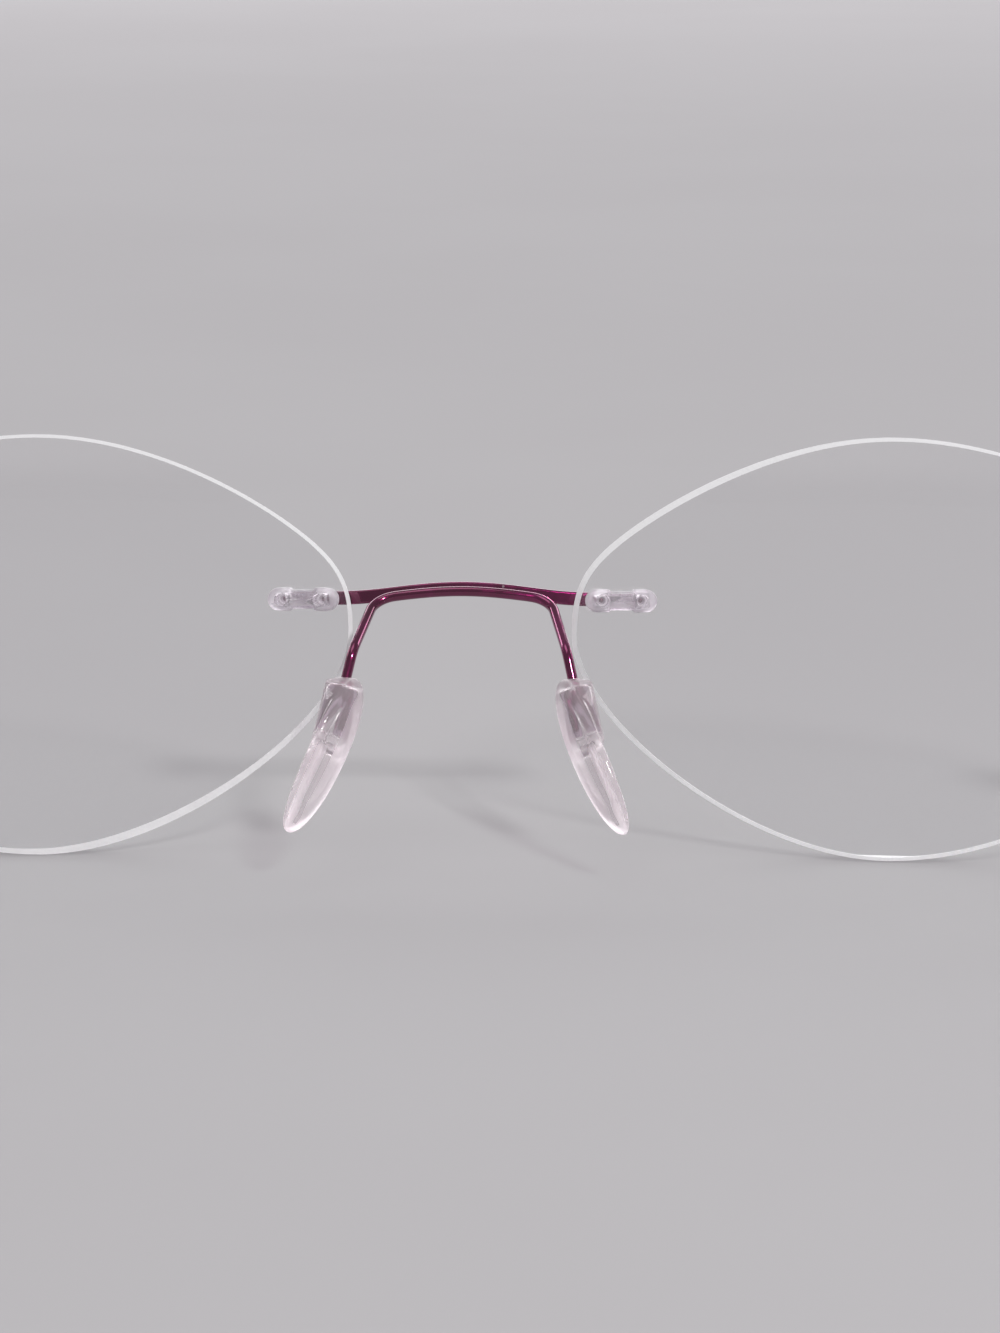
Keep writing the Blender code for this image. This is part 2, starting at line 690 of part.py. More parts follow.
def make_wire_bore(side, frame):
    """Cutter for the hole that takes the end of the wire."""
    depth = (WIRE_KNEE - WIRE_END).length + FIT_GAP
    mesh = cylinder_mesh("wire_bore", WIRE_RADIUS + FIT_GAP, depth, BORE_SIDES)
    bore = link_guide("wire_bore_" + side, mesh, frame)
    bore.location = (0, 0, -depth / 2)
    return bore


def make_core(side, frame, bore):
    """Rigid block in the pad, pushed onto the end of the wire."""
    mesh = box_mesh("pad_core", (CORE_THICKNESS, CORE_WIDTH, CORE_LENGTH))
    core = link_node("pad_core_" + side, mesh, clear_plastic("core_" + side), frame)
    core.location = (0, 0, core_middle())
    round_edges(core, CORE_ROUND, 2)
    boolean(core, bore, "DIFFERENCE")


# Endpieces, hinges and temples

def make_hinge_bore(side, hinge):
    """Cutter for the screw's hole through all the knuckles."""
    length = HINGE_HEIGHT + 2 * CUT_MARGIN
    mesh = cylinder_mesh("hinge_bore", SCREW_RADIUS + FIT_GAP, length, BORE_SIDES)
    return link_guide("hinge_bore_" + side, mesh, hinge)


def make_endpiece(side, sign, front, mount, hinge, bore):
    """Bar over the lens, turned back round its edge to the fork of the hinge."""
    block_back = HINGE_BLOCK_DEPTH - SWING_GAP
    leg_end = hinge_point(sign) - (hinge_point(sign) - endpiece_corner(sign)).normalized() * block_back
    corners = [plate_point(sign, 1, -plate_start()), endpiece_corner(sign), leg_end]
    mesh = bar_mesh("endpiece", rounded_path(corners, [ENDPIECE_BEND]))
    endpiece = link_node("endpiece_" + side, mesh, plum_metal("endpiece_" + side), front)
    add_pins(endpiece, "endpiece_" + side, mount)
    size = (HINGE_BLOCK_WIDTH, HINGE_BLOCK_DEPTH, HINGE_HEIGHT)
    block = link_guide("hinge_block_" + side, box_mesh("hinge_block", size), hinge)
    block.location = (0, -HINGE_BLOCK_DEPTH / 2, 0)
    boolean(endpiece, block, "UNION")
    mesh = cylinder_mesh("hinge_barrel", KNUCKLE_RADIUS, HINGE_HEIGHT)
    boolean(endpiece, link_guide("hinge_barrel_" + side, mesh, hinge), "UNION")
    slot_height = MIDDLE_KNUCKLE + 2 * KNUCKLE_GAP
    mesh = cylinder_mesh("hinge_slot", KNUCKLE_RADIUS + SWING_GAP, slot_height, SLOT_SIDES)
    boolean(endpiece, link_guide("hinge_slot_" + side, mesh, hinge), "DIFFERENCE")
    boolean(endpiece, bore, "DIFFERENCE")


def make_screw(side, hinge):
    """Slotted screw down through the knuckles."""
    name = "hinge_screw_" + side
    shank_length = HINGE_HEIGHT + FIT_GAP + SCREW_HEAD_HEIGHT / 2
    mesh = cylinder_mesh(name, SCREW_RADIUS, shank_length, BORE_SIDES)
    screw = link_node(name, mesh, bright_steel(name), hinge)
    screw.location = (0, 0, (shank_length - HINGE_HEIGHT) / 2)
    mesh = cylinder_mesh(name + "_head", SCREW_HEAD_RADIUS, SCREW_HEAD_HEIGHT)
    head = link_guide(name + "_head", mesh, hinge)
    head.location = (0, 0, HINGE_HEIGHT / 2 + FIT_GAP + SCREW_HEAD_HEIGHT / 2)
    boolean(screw, head, "UNION")
    size = (2 * SCREW_HEAD_RADIUS + CUT_MARGIN, SCREW_SLOT_WIDTH, 2 * SCREW_SLOT_DEPTH)
    slot = link_guide(name + "_slot", box_mesh(name + "_slot", size), hinge)
    slot.location = (0, 0, HINGE_HEIGHT / 2 + FIT_GAP + SCREW_HEAD_HEIGHT)
    boolean(screw, slot, "DIFFERENCE")


def make_leaf(side, hinge, bore):
    """Middle knuckle with a ferrule for the temple wire."""
    mesh = cylinder_mesh("temple_leaf", KNUCKLE_RADIUS, MIDDLE_KNUCKLE)
    leaf = link_node("temple_leaf_" + side, mesh, plum_metal("leaf_" + side), hinge)
    start = KNUCKLE_RADIUS + SWING_GAP
    size = (HINGE_BLOCK_WIDTH, start + SWING_GAP, MIDDLE_KNUCKLE)
    tongue = link_guide("leaf_tongue_" + side, box_mesh("leaf_tongue", size), hinge)
    tongue.location = (0, (start + SWING_GAP) / 2, 0)
    boolean(leaf, tongue, "UNION")
    mesh = cylinder_mesh("leaf_ferrule", FERRULE_END_RADIUS, FERRULE_LENGTH, end_radius=KNUCKLE_RADIUS)
    ferrule = link_guide("leaf_ferrule_" + side, mesh, hinge)
    ferrule.location = (0, start + FERRULE_LENGTH / 2, 0)
    ferrule.rotation_euler = (math.radians(90), 0, 0)
    boolean(leaf, ferrule, "UNION")
    mesh = cylinder_mesh("leaf_socket", TEMPLE_WIRE_RADIUS + FIT_GAP, 2 * SOCKET_DEPTH, BORE_SIDES)
    socket = link_guide("leaf_socket_" + side, mesh, hinge)
    socket.location = (0, start + FERRULE_LENGTH, 0)
    socket.rotation_euler = (math.radians(90), 0, 0)
    boolean(leaf, socket, "DIFFERENCE")
    boolean(leaf, bore, "DIFFERENCE")


def tip_start():
    """Where the tip begins: ahead of the ear bend, whose arc starts before its corner."""
    return TEMPLE_STRAIGHT - EAR_BEND * math.tan(hook_angle() / 2) - TIP_LEAD


def resampled(path):
    """The same path with a point about every PATH_SPACING along it."""
    points = [path[0]]
    for before, after in zip(path, path[1:]):
        pieces = max(1, round((after - before).length / PATH_SPACING))
        for piece in range(1, pieces + 1):
            points.append(before.lerp(after, piece / pieces))
    return points


def temple_path(sign, start, hook):
    """Temple centre line in the hinge's frame, from start to a length past the ear bend's corner."""
    angle = hook_angle()
    corner = Vector((0, TEMPLE_STRAIGHT, 0))
    lead = Vector((0, tip_start(), 0))
    end = corner + Vector((0, math.cos(angle), -math.sin(angle))) * hook
    path = resampled(rounded_path([lead, corner, end], [EAR_BEND]))
    span = corner.y + TEMPLE_HOOK * math.cos(angle) - lead.y
    for point in path:
        point.x -= sign * TIP_TOE_IN * ((point.y - lead.y) / span) ** 2
    if start < lead.y:
        path.insert(0, Vector((0, start, 0)))
    return path


def make_temple_wire(side, sign, hinge):
    start = KNUCKLE_RADIUS + SWING_GAP + FERRULE_LENGTH - SOCKET_DEPTH + FIT_GAP
    path = temple_path(sign, start, TEMPLE_HOOK - TIP_END_WALL)
    mesh = tube_mesh("temple_wire", path, TEMPLE_WIRE_RADIUS)
    link_node("temple_wire_" + side, mesh, plum_metal("temple_" + side), hinge)


def make_tip(side, sign, hinge, table):
    """Plastic sleeve over the hooked end, thicker towards its rounded end."""
    path = temple_path(sign, tip_start(), TEMPLE_HOOK - TIP_ROUND)
    lengths = [0.0]
    for before, after in zip(path, path[1:]):
        lengths.append(lengths[-1] + (after - before).length)
    radii = [sleeve_radius(length / lengths[-1]) for length in lengths]
    outward = (path[-1] - path[-2]).normalized()
    base = path[-1]
    for angle in END_ANGLES:
        path.append(base + outward * TIP_ROUND * math.sin(math.radians(angle)))
        radii.append(TIP_END_RADIUS * math.cos(math.radians(angle)))
    swell = [radius / TIP_END_RADIUS for radius in radii]
    mesh = tube_mesh("temple_tip", path, TIP_END_RADIUS, resolution=3, swell=swell)
    tip = link_node("temple_tip_" + side, mesh, plum_plastic("tip_" + side), hinge)
    inner = temple_path(sign, tip_start() - TIP_LEAD, TEMPLE_HOOK - TIP_END_WALL + FIT_GAP)
    bore = link_guide("tip_bore_" + side, tube_mesh("tip_bore", inner, TEMPLE_WIRE_RADIUS + FIT_GAP), hinge)
    boolean(tip, bore, "DIFFERENCE")
    boolean(tip, table, "DIFFERENCE")


def sleeve_radius(ratio):
    """Radius of the tip at a share of its length: it swells smoothly over the first two thirds."""
    part = min(1.0, ratio * 1.5)
    swelling = part * part * (3 - 2 * part)
    return TIP_START_RADIUS + (TIP_END_RADIUS - TIP_START_RADIUS) * swelling


# Whole object

def make_mount_frames(front):
    mounts = {}
    for side, sign in SIDES.items():
        mounts[side] = {}
        for place_name, place in (("nasal", -1), ("temporal", 1)):
            mount = new_empty("holes_" + side + "_" + place_name, front)
            mount.matrix_local = mount_matrix(sign, place)
            mounts[side][place_name] = mount
    return mounts


def centre_on_origin(root, nodes):
    """Slide everything so that the middle of its footprint is over the origin."""
    bpy.context.view_layer.update()
    graph = bpy.context.evaluated_depsgraph_get()
    points = []
    for node in nodes:
        shape = node.evaluated_get(graph)
        points += [shape.matrix_world @ vertex.co for vertex in shape.data.vertices]
    for axis in (0, 1):
        values = [point[axis] for point in points]
        root.location[axis] -= (min(values) + max(values)) / 2
    bpy.context.view_layer.update()


def build():
    root = new_empty("glasses")
    front = new_empty("front_frame", root, (0, 0, front_height()), (TILT, 0, 0))
    table = link_guide("table_cut", box_mesh("table_cut", (TABLE_SIZE, TABLE_SIZE, TABLE_DEPTH)), root)
    table.location = (0, 0, -TABLE_DEPTH / 2)
    mounts = make_mount_frames(front)
    make_bridge(front, mounts)
    make_pad_wire(front)
    for side, sign in SIDES.items():
        lens_frame = new_empty("lens_frame_" + side, front)
        lens_frame.matrix_local = lens_matrix(sign)
        hinge = new_empty("hinge_" + side, front, hinge_point(sign), (-PANTOSCOPIC, 0, 0))
        pad_frame = new_empty("pad_frame_" + side, front)
        pad_frame.matrix_local = pad_matrix(sign)
        make_lens(side, sign, lens_frame, mounts[side], table)
        make_plug("nose_plug_" + side, mounts[side]["nasal"])
        make_plug("temple_plug_" + side, mounts[side]["temporal"])
        wire_bore = make_wire_bore(side, pad_frame)
        make_core(side, pad_frame, wire_bore)
        make_pad(side, sign, pad_frame, wire_bore)
        hinge_bore = make_hinge_bore(side, hinge)
        make_endpiece(side, sign, front, mounts[side]["temporal"], hinge, hinge_bore)
        make_screw(side, hinge)
        make_leaf(side, hinge, hinge_bore)
        make_temple_wire(side, sign, hinge)
        make_tip(side, sign, hinge, table)
    centre_on_origin(root, list(PARTS.objects))


clear_scene()
PARTS = new_collection("rimless_eyeglasses")
GUIDES = new_collection("cutters")
build()
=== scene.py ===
# Rimless eyeglasses standing open: clear oval lenses, a plum metal bridge, clear nose pads and slim temples.
import json
import math

import bpy
import numpy as np
from mathutils import Matrix


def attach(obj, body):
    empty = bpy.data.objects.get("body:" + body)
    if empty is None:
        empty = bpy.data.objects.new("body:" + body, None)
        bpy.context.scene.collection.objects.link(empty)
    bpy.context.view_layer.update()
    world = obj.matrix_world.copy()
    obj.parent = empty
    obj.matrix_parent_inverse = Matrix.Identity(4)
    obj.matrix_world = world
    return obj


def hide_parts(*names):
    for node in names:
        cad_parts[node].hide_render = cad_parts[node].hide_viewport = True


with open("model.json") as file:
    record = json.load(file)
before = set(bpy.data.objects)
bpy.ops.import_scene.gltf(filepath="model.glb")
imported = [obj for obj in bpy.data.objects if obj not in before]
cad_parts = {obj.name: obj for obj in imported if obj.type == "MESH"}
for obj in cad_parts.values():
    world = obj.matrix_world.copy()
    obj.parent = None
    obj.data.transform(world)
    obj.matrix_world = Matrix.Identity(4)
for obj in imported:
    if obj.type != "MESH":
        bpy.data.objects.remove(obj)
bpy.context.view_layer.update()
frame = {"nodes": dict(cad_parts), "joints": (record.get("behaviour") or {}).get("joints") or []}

mm = 0.001
sides = {"left": 1, "right": -1}
joints = {joint["name"]: joint for joint in frame["joints"]}
print("frame loaded:", len(frame["nodes"]), "nodes")

# All sizes below are in millimetres and degrees.
front = {"tilt": 12.0, "wrap": 4.0, "pantoscopic": 8.5, "restSlope": 3.5, "gap": 18.0}
lens = {
    "width": 52.0, "height": 34.8, "thickness": 2.0, "frontRadius": 106.0, "backRadius": 100.0,
    "widestLevel": 1.0, "shoulderIn": 5.6, "shoulderDown": 7.0, "shoulderSlope": 34.8, "shoulderRound": 5.9,
    "topNasal": 7.7, "topTemporal": 12.0, "bottomNasal": 11.6, "bottomTemporal": 12.5,
    "nasalUp": 4.0, "nasalDown": 7.0, "temporal": 9.0,
    "frontChamfer": 0.14, "backChamfer": 0.29, "chamferDepth": 0.8,
    "groundWider": {"left": (-57.0, 0.38, 45.0), "right": (33.0, 0.26, 45.0)},
    "curvePoints": 80, "outlinePoints": 300, "rings": 18, "edgeRings": 4, "sharp": 25.0,
}
holes = {"spacing": 3.25, "inset": 3.5, "level": 4.0, "sleeve": 0.52, "pin": 0.25, "pinRound": 0.06,
         "pinSides": 24, "fit": 0.05, "seat": 0.1, "through": 3.0}
bar = {"height": 1.15, "thickness": 0.7, "corner": 0.2, "rise": 0.8, "overhang": 0.8, "run": 1.2,
       "bareInset": 0.05, "bareDepth": 0.04, "archPoints": 81, "rows": 160, "roundSteps": 6}
endpiece = {"hingeOutreach": 5.0, "hingeSetback": 10.5, "bend": 4.0, "bendSteps": 24, "rows": 110}
padWire = {"radius": 0.42, "drop": 0.22, "cornerOut": 7.25, "cornerDrop": 0.26, "knee": (8.72, 7.6, -0.25),
           "end": (9.8, 8.6, -5.1), "cornerBend": 2.0, "kneeBend": 2.2, "endDeeper": 1.6, "endRound": 0.1,
           "alongPoints": 41, "rows": 240, "roundSteps": 5}


# Frames: four by four arrays in millimetres, carried from the front to the world by frontFrame

def moved(x, y, z):
    matrix = np.eye(4)
    matrix[:3, 3] = (x, y, z)
    return matrix


def turned(axis, degrees):  # right-handed turn about the x, y or z axis, numbered 0, 1, 2
    matrix = np.eye(4)
    c, s = math.cos(math.radians(degrees)), math.sin(math.radians(degrees))
    a, b = (axis + 1) % 3, (axis + 2) % 3
    matrix[a, a], matrix[a, b], matrix[b, a], matrix[b, b] = c, -s, s, c
    return matrix


def carried(points, matrix):
    return np.asarray(points, float) @ matrix[:3, :3].T + matrix[:3, 3]


def unit(vectors):
    vectors = np.asarray(vectors, float)
    return vectors / np.linalg.norm(vectors, axis=-1, keepdims=True)


def frontSag(distance):  # depth of the front sphere at a distance from the lens's middle
    return lens["frontRadius"] - np.sqrt(lens["frontRadius"] ** 2 - np.asarray(distance) ** 2)


def backSag(distance):  # the same for the back sphere
    return lens["backRadius"] - np.sqrt(lens["backRadius"] ** 2 - np.asarray(distance) ** 2)


holeOffset = lens["width"] / 2 - holes["inset"]
holeDistance = math.hypot(holeOffset, holes["level"])
holeTurn = math.degrees(math.asin(holeOffset / lens["frontRadius"]))
holeDepth = lens["thickness"] + backSag(holeDistance) - frontSag(holeDistance)
holeDepth *= math.cos(math.radians(holeTurn))


def lensFrame(sign):
    backEdge = lens["thickness"] + backSag(lens["width"] / 2)
    wrap = math.radians(front["wrap"])
    centre = front["gap"] / 2 + lens["width"] / 2 * math.cos(wrap) + backEdge * math.sin(wrap)
    return moved(sign * centre, 0, 0) @ turned(2, sign * front["wrap"])


def mountFrame(sign, place):  # a pair of holes, y into the lens
    seat = moved(place * sign * holeOffset, frontSag(holeDistance), holes["level"])
    lean = -math.degrees(math.asin(holes["level"] / lens["frontRadius"]))
    return lensFrame(sign) @ seat @ turned(2, place * sign * holeTurn) @ turned(0, lean)


def platePoint(sign, place, outward):  # on the middle line of the bar's flat end in front of a pair of holes
    line = (place * sign * outward, -holes["seat"] - bar["thickness"] / 2, 0)
    return carried(line, mountFrame(sign, place))


def bridgePoints(x):  # centre line of the bridge: it leaves both plates smoothly and arches between them
    exitPoint = platePoint(1, -1, holes["spacing"] / 2 + bar["run"])
    pinPoint = platePoint(1, -1, holes["spacing"] / 2)
    slope = (exitPoint[1] - pinPoint[1]) / (pinPoint[0] - exitPoint[0])
    share = 1 - (x / exitPoint[0]) ** 2
    bow = slope * exitPoint[0] / 2
    return np.stack([x, exitPoint[1] + bow * share, exitPoint[2] + bar["rise"] * share ** 2], -1)


def endpieceCorner():
    near, far = platePoint(1, 1, 0), platePoint(1, 1, holes["inset"])
    reach = lens["width"] + front["gap"] / 2 + endpiece["hingeOutreach"]
    return near + (far - near) * (reach - near[0]) / (far[0] - near[0])


def mirrored(point, sign):  # a point of the left side, or its mirror image on the right
    return np.asarray(point, float) * (sign, 1, 1)


legTurn = math.radians(front["pantoscopic"])
hingePoint = endpieceCorner() + endpiece["hingeSetback"] * np.array([0, math.cos(legTurn), -math.sin(legTurn)])
hingeInWorld = np.array(joints["temple_left_fold"]["pos_m"]) / mm
frontFrame = turned(0, front["tilt"])
frontFrame[:3, 3] = hingeInWorld - carried(hingePoint, frontFrame)


def hingeFrame(sign):  # z up the screw, y back along the open temple
    return moved(*mirrored(hingePoint, sign)) @ turned(0, -front["pantoscopic"])


def smooth(value):  # a soft step from nothing to one
    value = np.clip(value, 0, 1)
    return value * value * (3 - 2 * value)


def above(value, start, soft):
    return smooth((value - start) / soft)


def below(value, end, soft):
    return smooth((end - value) / soft)


# Surfaces: every shell is its points, its faces and a material number for each face

def gridFaces(rows, columns):  # quads between neighbouring rows of a grid whose columns close into a ring
    start = np.arange(rows - 1)[:, None] * columns
    here = np.arange(columns)[None, :]
    after = (here + 1) % columns
    corners = [start + here, start + after, start + columns + after, start + columns + here]
    return np.stack(corners, -1).reshape(-1, 4)


def shell(points, faces, slots=None):  # a closed surface, its faces turned outwards by the sign of its volume
    points = np.asarray(points, float)
    faces = [tuple(face) for face in faces]
    triangles = np.array([(face[0], face[k], face[k + 1]) for face in faces for k in range(1, len(face) - 1)])
    a, b, c = points[triangles[:, 0]], points[triangles[:, 1]], points[triangles[:, 2]]
    if np.einsum("ij,ij->i", a - points[0], np.cross(b - points[0], c - points[0])).sum() < 0:
        faces = [face[::-1] for face in faces]
    return points, faces, np.zeros(len(faces), int) if slots is None else np.asarray(slots)


def together(*shells):
    points, faces, slots, count = [], [], [], 0
    for each in shells:
        points.append(each[0])
        faces += [tuple(n + count for n in face) for face in each[1]]
        slots.append(each[2])
        count += len(each[0])
    return np.concatenate(points), faces, np.concatenate(slots)


def placed(solid, matrix):
    return carried(solid[0], matrix), solid[1], solid[2]


def meshOf(solid, scale=1.0):  # every face with its material's number
    mesh = bpy.data.meshes.new("surface")
    mesh.from_pydata((solid[0] * scale).tolist(), [], solid[1])
    mesh.polygons.foreach_set("material_index", solid[2].astype(np.int32))
    mesh.update()
    return mesh


def newObject(name, data):
    made = bpy.data.objects.new(name, data)
    bpy.context.scene.collection.objects.link(made)
    return made


mostMaterials = 2  # on any one piece


def shaped(solid, cuts, joins=()):  # the solid joined with some solids and then cut by others, each in turn
    made = newObject("blank", meshOf(solid))
    helpers = []
    for operation, tool in [("UNION", each) for each in joins] + [("DIFFERENCE", each) for each in cuts]:
        helpers.append(newObject("tool", meshOf(tool)))
        step = made.modifiers.new(operation, "BOOLEAN")
        step.operation, step.solver, step.object = operation, "EXACT", helpers[-1]
    for holder in [made, *helpers]:
        for _ in range(mostMaterials):
            holder.data.materials.append(None)
    bpy.context.view_layer.update()
    mesh = bpy.data.meshes.new_from_object(made.evaluated_get(bpy.context.evaluated_depsgraph_get()))
    points = np.zeros(len(mesh.vertices) * 3)
    mesh.vertices.foreach_get("co", points)
    faces = [tuple(face.vertices) for face in mesh.polygons]
    slots = np.zeros(len(faces), np.int32)
    mesh.polygons.foreach_get("material_index", slots)
    for holder in [made, *helpers]:
        bpy.data.objects.remove(holder, do_unlink=True)
    if not faces:
        raise RuntimeError("a cut left nothing")
    return points.reshape(-1, 3), faces, slots


def alongPath(path, lengths):  # points and directions of a path at given lengths along it
    path = np.asarray(path, float)
    steps = np.linalg.norm(np.diff(path, axis=0), axis=1)
    reach = np.concatenate([[0], np.cumsum(steps)])
    directions = unit(np.gradient(path, reach, axis=0) if len(path) > 2 else np.diff(path, axis=0)[[0, 0]])
    points = np.stack([np.interp(lengths, reach, path[:, k]) for k in range(3)], -1)
    return points, unit(np.stack([np.interp(lengths, reach, directions[:, k]) for k in range(3)], -1))


def pathLength(path):
    return np.linalg.norm(np.diff(np.asarray(path, float), axis=0), axis=1).sum()


def swept(path, profile, up, rows=8, rounding=0.0, roundSteps=6, swell=None, slots=None):
    # A profile carried along a path: path point + across * x + upright * y, where x and y are the profile's
    # coordinates. Near both ends the profile draws in along its own normals on a quarter circle.
    profilePoints, profileNormals = profile
    length = pathLength(path)
    angles = np.linspace(0, 90, roundSteps + 1) * math.pi / 180
    if rounding > 0:
        drawIn = rounding * (1 - np.sin(angles))
        ahead = rounding * (1 - np.cos(angles))
        middle = np.linspace(rounding, length - rounding, rows + 2)[1:-1]
        stations = np.concatenate([ahead, middle, (length - ahead)[::-1]])
        inset = np.concatenate([drawIn, np.zeros(rows), drawIn[::-1]])
    else:
        stations = np.linspace(0, length, rows + 2)
        inset = np.zeros(rows + 2)
    centres, directions = alongPath(path, stations)
    across = unit(np.cross(directions, np.asarray(up, float)))
    upright = np.cross(across, directions)
    flat = profilePoints[None] - profileNormals[None] * inset[:, None, None]
    if swell is not None:
        flat = flat * np.interp(stations / length, swell[0], swell[1])[:, None, None]
    points = centres[:, None] + across[:, None] * flat[..., :1] + upright[:, None] * flat[..., 1:]
    rowCount, columnCount = points.shape[:2]
    faces = gridFaces(rowCount, columnCount).tolist()
    lastRow = (rowCount - 1) * columnCount
    faces.append(list(range(columnCount))[::-1])
    faces.append([lastRow + k for k in range(columnCount)])
    made = shell(points.reshape(-1, 3), faces)
    if slots is not None:
        made = (made[0], made[1], slots(made))
    return made


def roundProfile(radius, sidesCount=40):
    angles = np.arange(sidesCount) * 2 * math.pi / sidesCount
    normals = np.stack([np.cos(angles), np.sin(angles)], -1)
    return normals * radius, normals


def boxProfile(width, height, corner, steps=6):  # rectangle with its corners turned on arcs
    arc = np.linspace(0, 90, steps + 1)
    angles = np.concatenate([arc + 90 * quarter for quarter in range(4)]) * math.pi / 180
    normals = np.stack([np.cos(angles), np.sin(angles)], -1)
    middles = np.array([(1, 1), (-1, 1), (-1, -1), (1, -1)]) * (width / 2 - corner, height / 2 - corner)
    return np.repeat(middles, steps + 1, axis=0) + normals * corner, normals


def outlineProfile(points):  # any closed outline, with normals square to its run
    ahead = np.roll(points, -1, 0) - np.roll(points, 1, 0)
    normals = unit(np.stack([ahead[:, 1], -ahead[:, 0]], -1))
    area = (points[:, 0] * np.roll(points[:, 1], -1) - np.roll(points[:, 0], -1) * points[:, 1]).sum()
    return points, normals * np.sign(area)


def roundedPath(corners, bends, steps=14):  # straight runs whose corners are turned on arcs of the given radii
    corners = [np.asarray(corner, float) for corner in corners]
    path = [corners[0][None]]
    for before, corner, after, bend in zip(corners, corners[1:], corners[2:], bends):
        inward, outward = unit(before - corner), unit(after - corner)
        half = math.acos(float(np.clip(inward @ outward, -1, 1))) / 2
        centre = corner + unit(inward + outward) * bend / math.sin(half)
        start = corner + inward * bend / math.tan(half) - centre
        end = corner + outward * bend / math.tan(half) - centre
        whole = math.pi - 2 * half
        share = np.linspace(0, 1, steps + 1)[:, None]
        arc = (start * np.sin((1 - share) * whole) + end * np.sin(share * whole)) / math.sin(whole)
        path.append(centre + arc)
    path.append(corners[-1][None])
    return np.concatenate(path)


def finished(name, node, body, solid, matrix, itsFinishes, sharp=35.0, onTable=False):
    # The surface as one piece in the row frame: smooth, edges sharper than an angle kept, riding on its body.
    points = carried(solid[0], frontFrame @ matrix)
    if onTable:
        points[:, 2] = np.maximum(points[:, 2], 0)  # the flat that it stands on
    mesh = meshOf((points, solid[1], solid[2]), mm)
    mesh.name = name
    for finish in itsFinishes:
        mesh.materials.append(finishes[finish])
    mesh.shade_smooth()
    mesh.set_sharp_from_angle(angle=math.radians(sharp))
    piece = newObject(name, mesh)
    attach(piece, body)
    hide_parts(node)
    return piece


def frosted(piece, mist):  # how frosted the surface is at each of its points, which the clear finishes read
    made = piece.data.attributes.new("mist", "FLOAT", "POINT")
    made.data.foreach_set("value", mist.astype(np.float32))


# Shader groups that several finishes share

def newGroup(name, inputs, outputs):
    group = bpy.data.node_groups.new(name, "ShaderNodeTree")
    for socketName, kind, value in inputs:
        socket = group.interface.new_socket(name=socketName, in_out="INPUT", socket_type=kind)
        if value is not None:
            socket.default_value = value
    for socketName, kind in outputs:
        group.interface.new_socket(name=socketName, in_out="OUTPUT", socket_type=kind)
    return group, group.nodes.new("NodeGroupInput"), group.nodes.new("NodeGroupOutput")


def fed(tree, node, inputs):  # each input linked to a socket or set to a value
    for key, value in inputs.items():
        if isinstance(value, bpy.types.NodeSocket):
            tree.links.new(value, node.inputs[key])
        else:
            node.inputs[key].default_value = value
    return node


def addNode(tree, kind, settings, inputs):
    node = tree.nodes.new(kind)
    for key, value in settings.items():
        setattr(node, key, value)
    return fed(tree, node, inputs)


def sums(tree, operation, *values):
    return addNode(tree, "ShaderNodeMath", {"operation": operation}, dict(enumerate(values))).outputs[0]


def makePatchGroup():  # soft patches between two values
    group, start, end = newGroup("softPatches",
                                 [("Vector", "NodeSocketVector", None), ("Scale", "NodeSocketFloat", 200.0),
                                  ("Low", "NodeSocketFloat", 0.0), ("High", "NodeSocketFloat", 1.0)],
                                 [("Value", "NodeSocketFloat")])
    noise = addNode(group, "ShaderNodeTexNoise", {}, {
        "Vector": start.outputs["Vector"], "Scale": start.outputs["Scale"], "Detail": 4.0, "Roughness": 0.55})
    spread = addNode(group, "ShaderNodeMapRange", {"interpolation_type": "SMOOTHSTEP"}, {
        "Value": noise.outputs["Fac"], "From Min": 0.36, "From Max": 0.64,
        "To Min": start.outputs["Low"], "To Max": start.outputs["High"]})
    group.links.new(spread.outputs["Result"], end.inputs["Value"])
    return group


def makeSpeckGroup():  # sparse round specks of dust: a share of the cells, each with a radius of its own
    group, start, end = newGroup("dustSpecks",
                                 [("Vector", "NodeSocketVector", None), ("Scale", "NodeSocketFloat", 900.0),
                                  ("Share", "NodeSocketFloat", 0.1), ("Size", "NodeSocketFloat", 0.12)],
                                 [("Mask", "NodeSocketFloat")])
    cells = addNode(group, "ShaderNodeTexVoronoi", {}, {
        "Vector": start.outputs["Vector"], "Scale": start.outputs["Scale"]})
    chosen = addNode(group, "ShaderNodeSeparateColor", {}, {"Color": cells.outputs["Color"]})
    few = sums(group, "LESS_THAN", chosen.outputs["Red"], start.outputs["Share"])
    size = sums(group, "MULTIPLY", chosen.outputs["Green"], start.outputs["Size"])
    near = sums(group, "LESS_THAN", cells.outputs["Distance"], size)
    group.links.new(sums(group, "MULTIPLY", few, near), end.inputs["Mask"])
    return group


def makeGrainGroup():  # a height and a normal for fine ground or moulded surfaces
    group, start, end = newGroup("fineGrain",
                                 [("Vector", "NodeSocketVector", None), ("Scale", "NodeSocketFloat", 3000.0),
                                  ("Depth", "NodeSocketFloat", 0.3)],
                                 [("Normal", "NodeSocketVector"), ("Height", "NodeSocketFloat")])
    noise = addNode(group, "ShaderNodeTexNoise", {}, {
        "Vector": start.outputs["Vector"], "Scale": start.outputs["Scale"], "Detail": 3.0, "Roughness": 0.6})
    bump = addNode(group, "ShaderNodeBump", {}, {
        "Height": noise.outputs["Fac"], "Strength": start.outputs["Depth"], "Distance": 0.00002})
    group.links.new(bump.outputs["Normal"], end.inputs["Normal"])
    group.links.new(noise.outputs["Fac"], end.inputs["Height"])
    return group


softPatches = makePatchGroup()
dustSpecks = makeSpeckGroup()
fineGrain = makeGrainGroup()


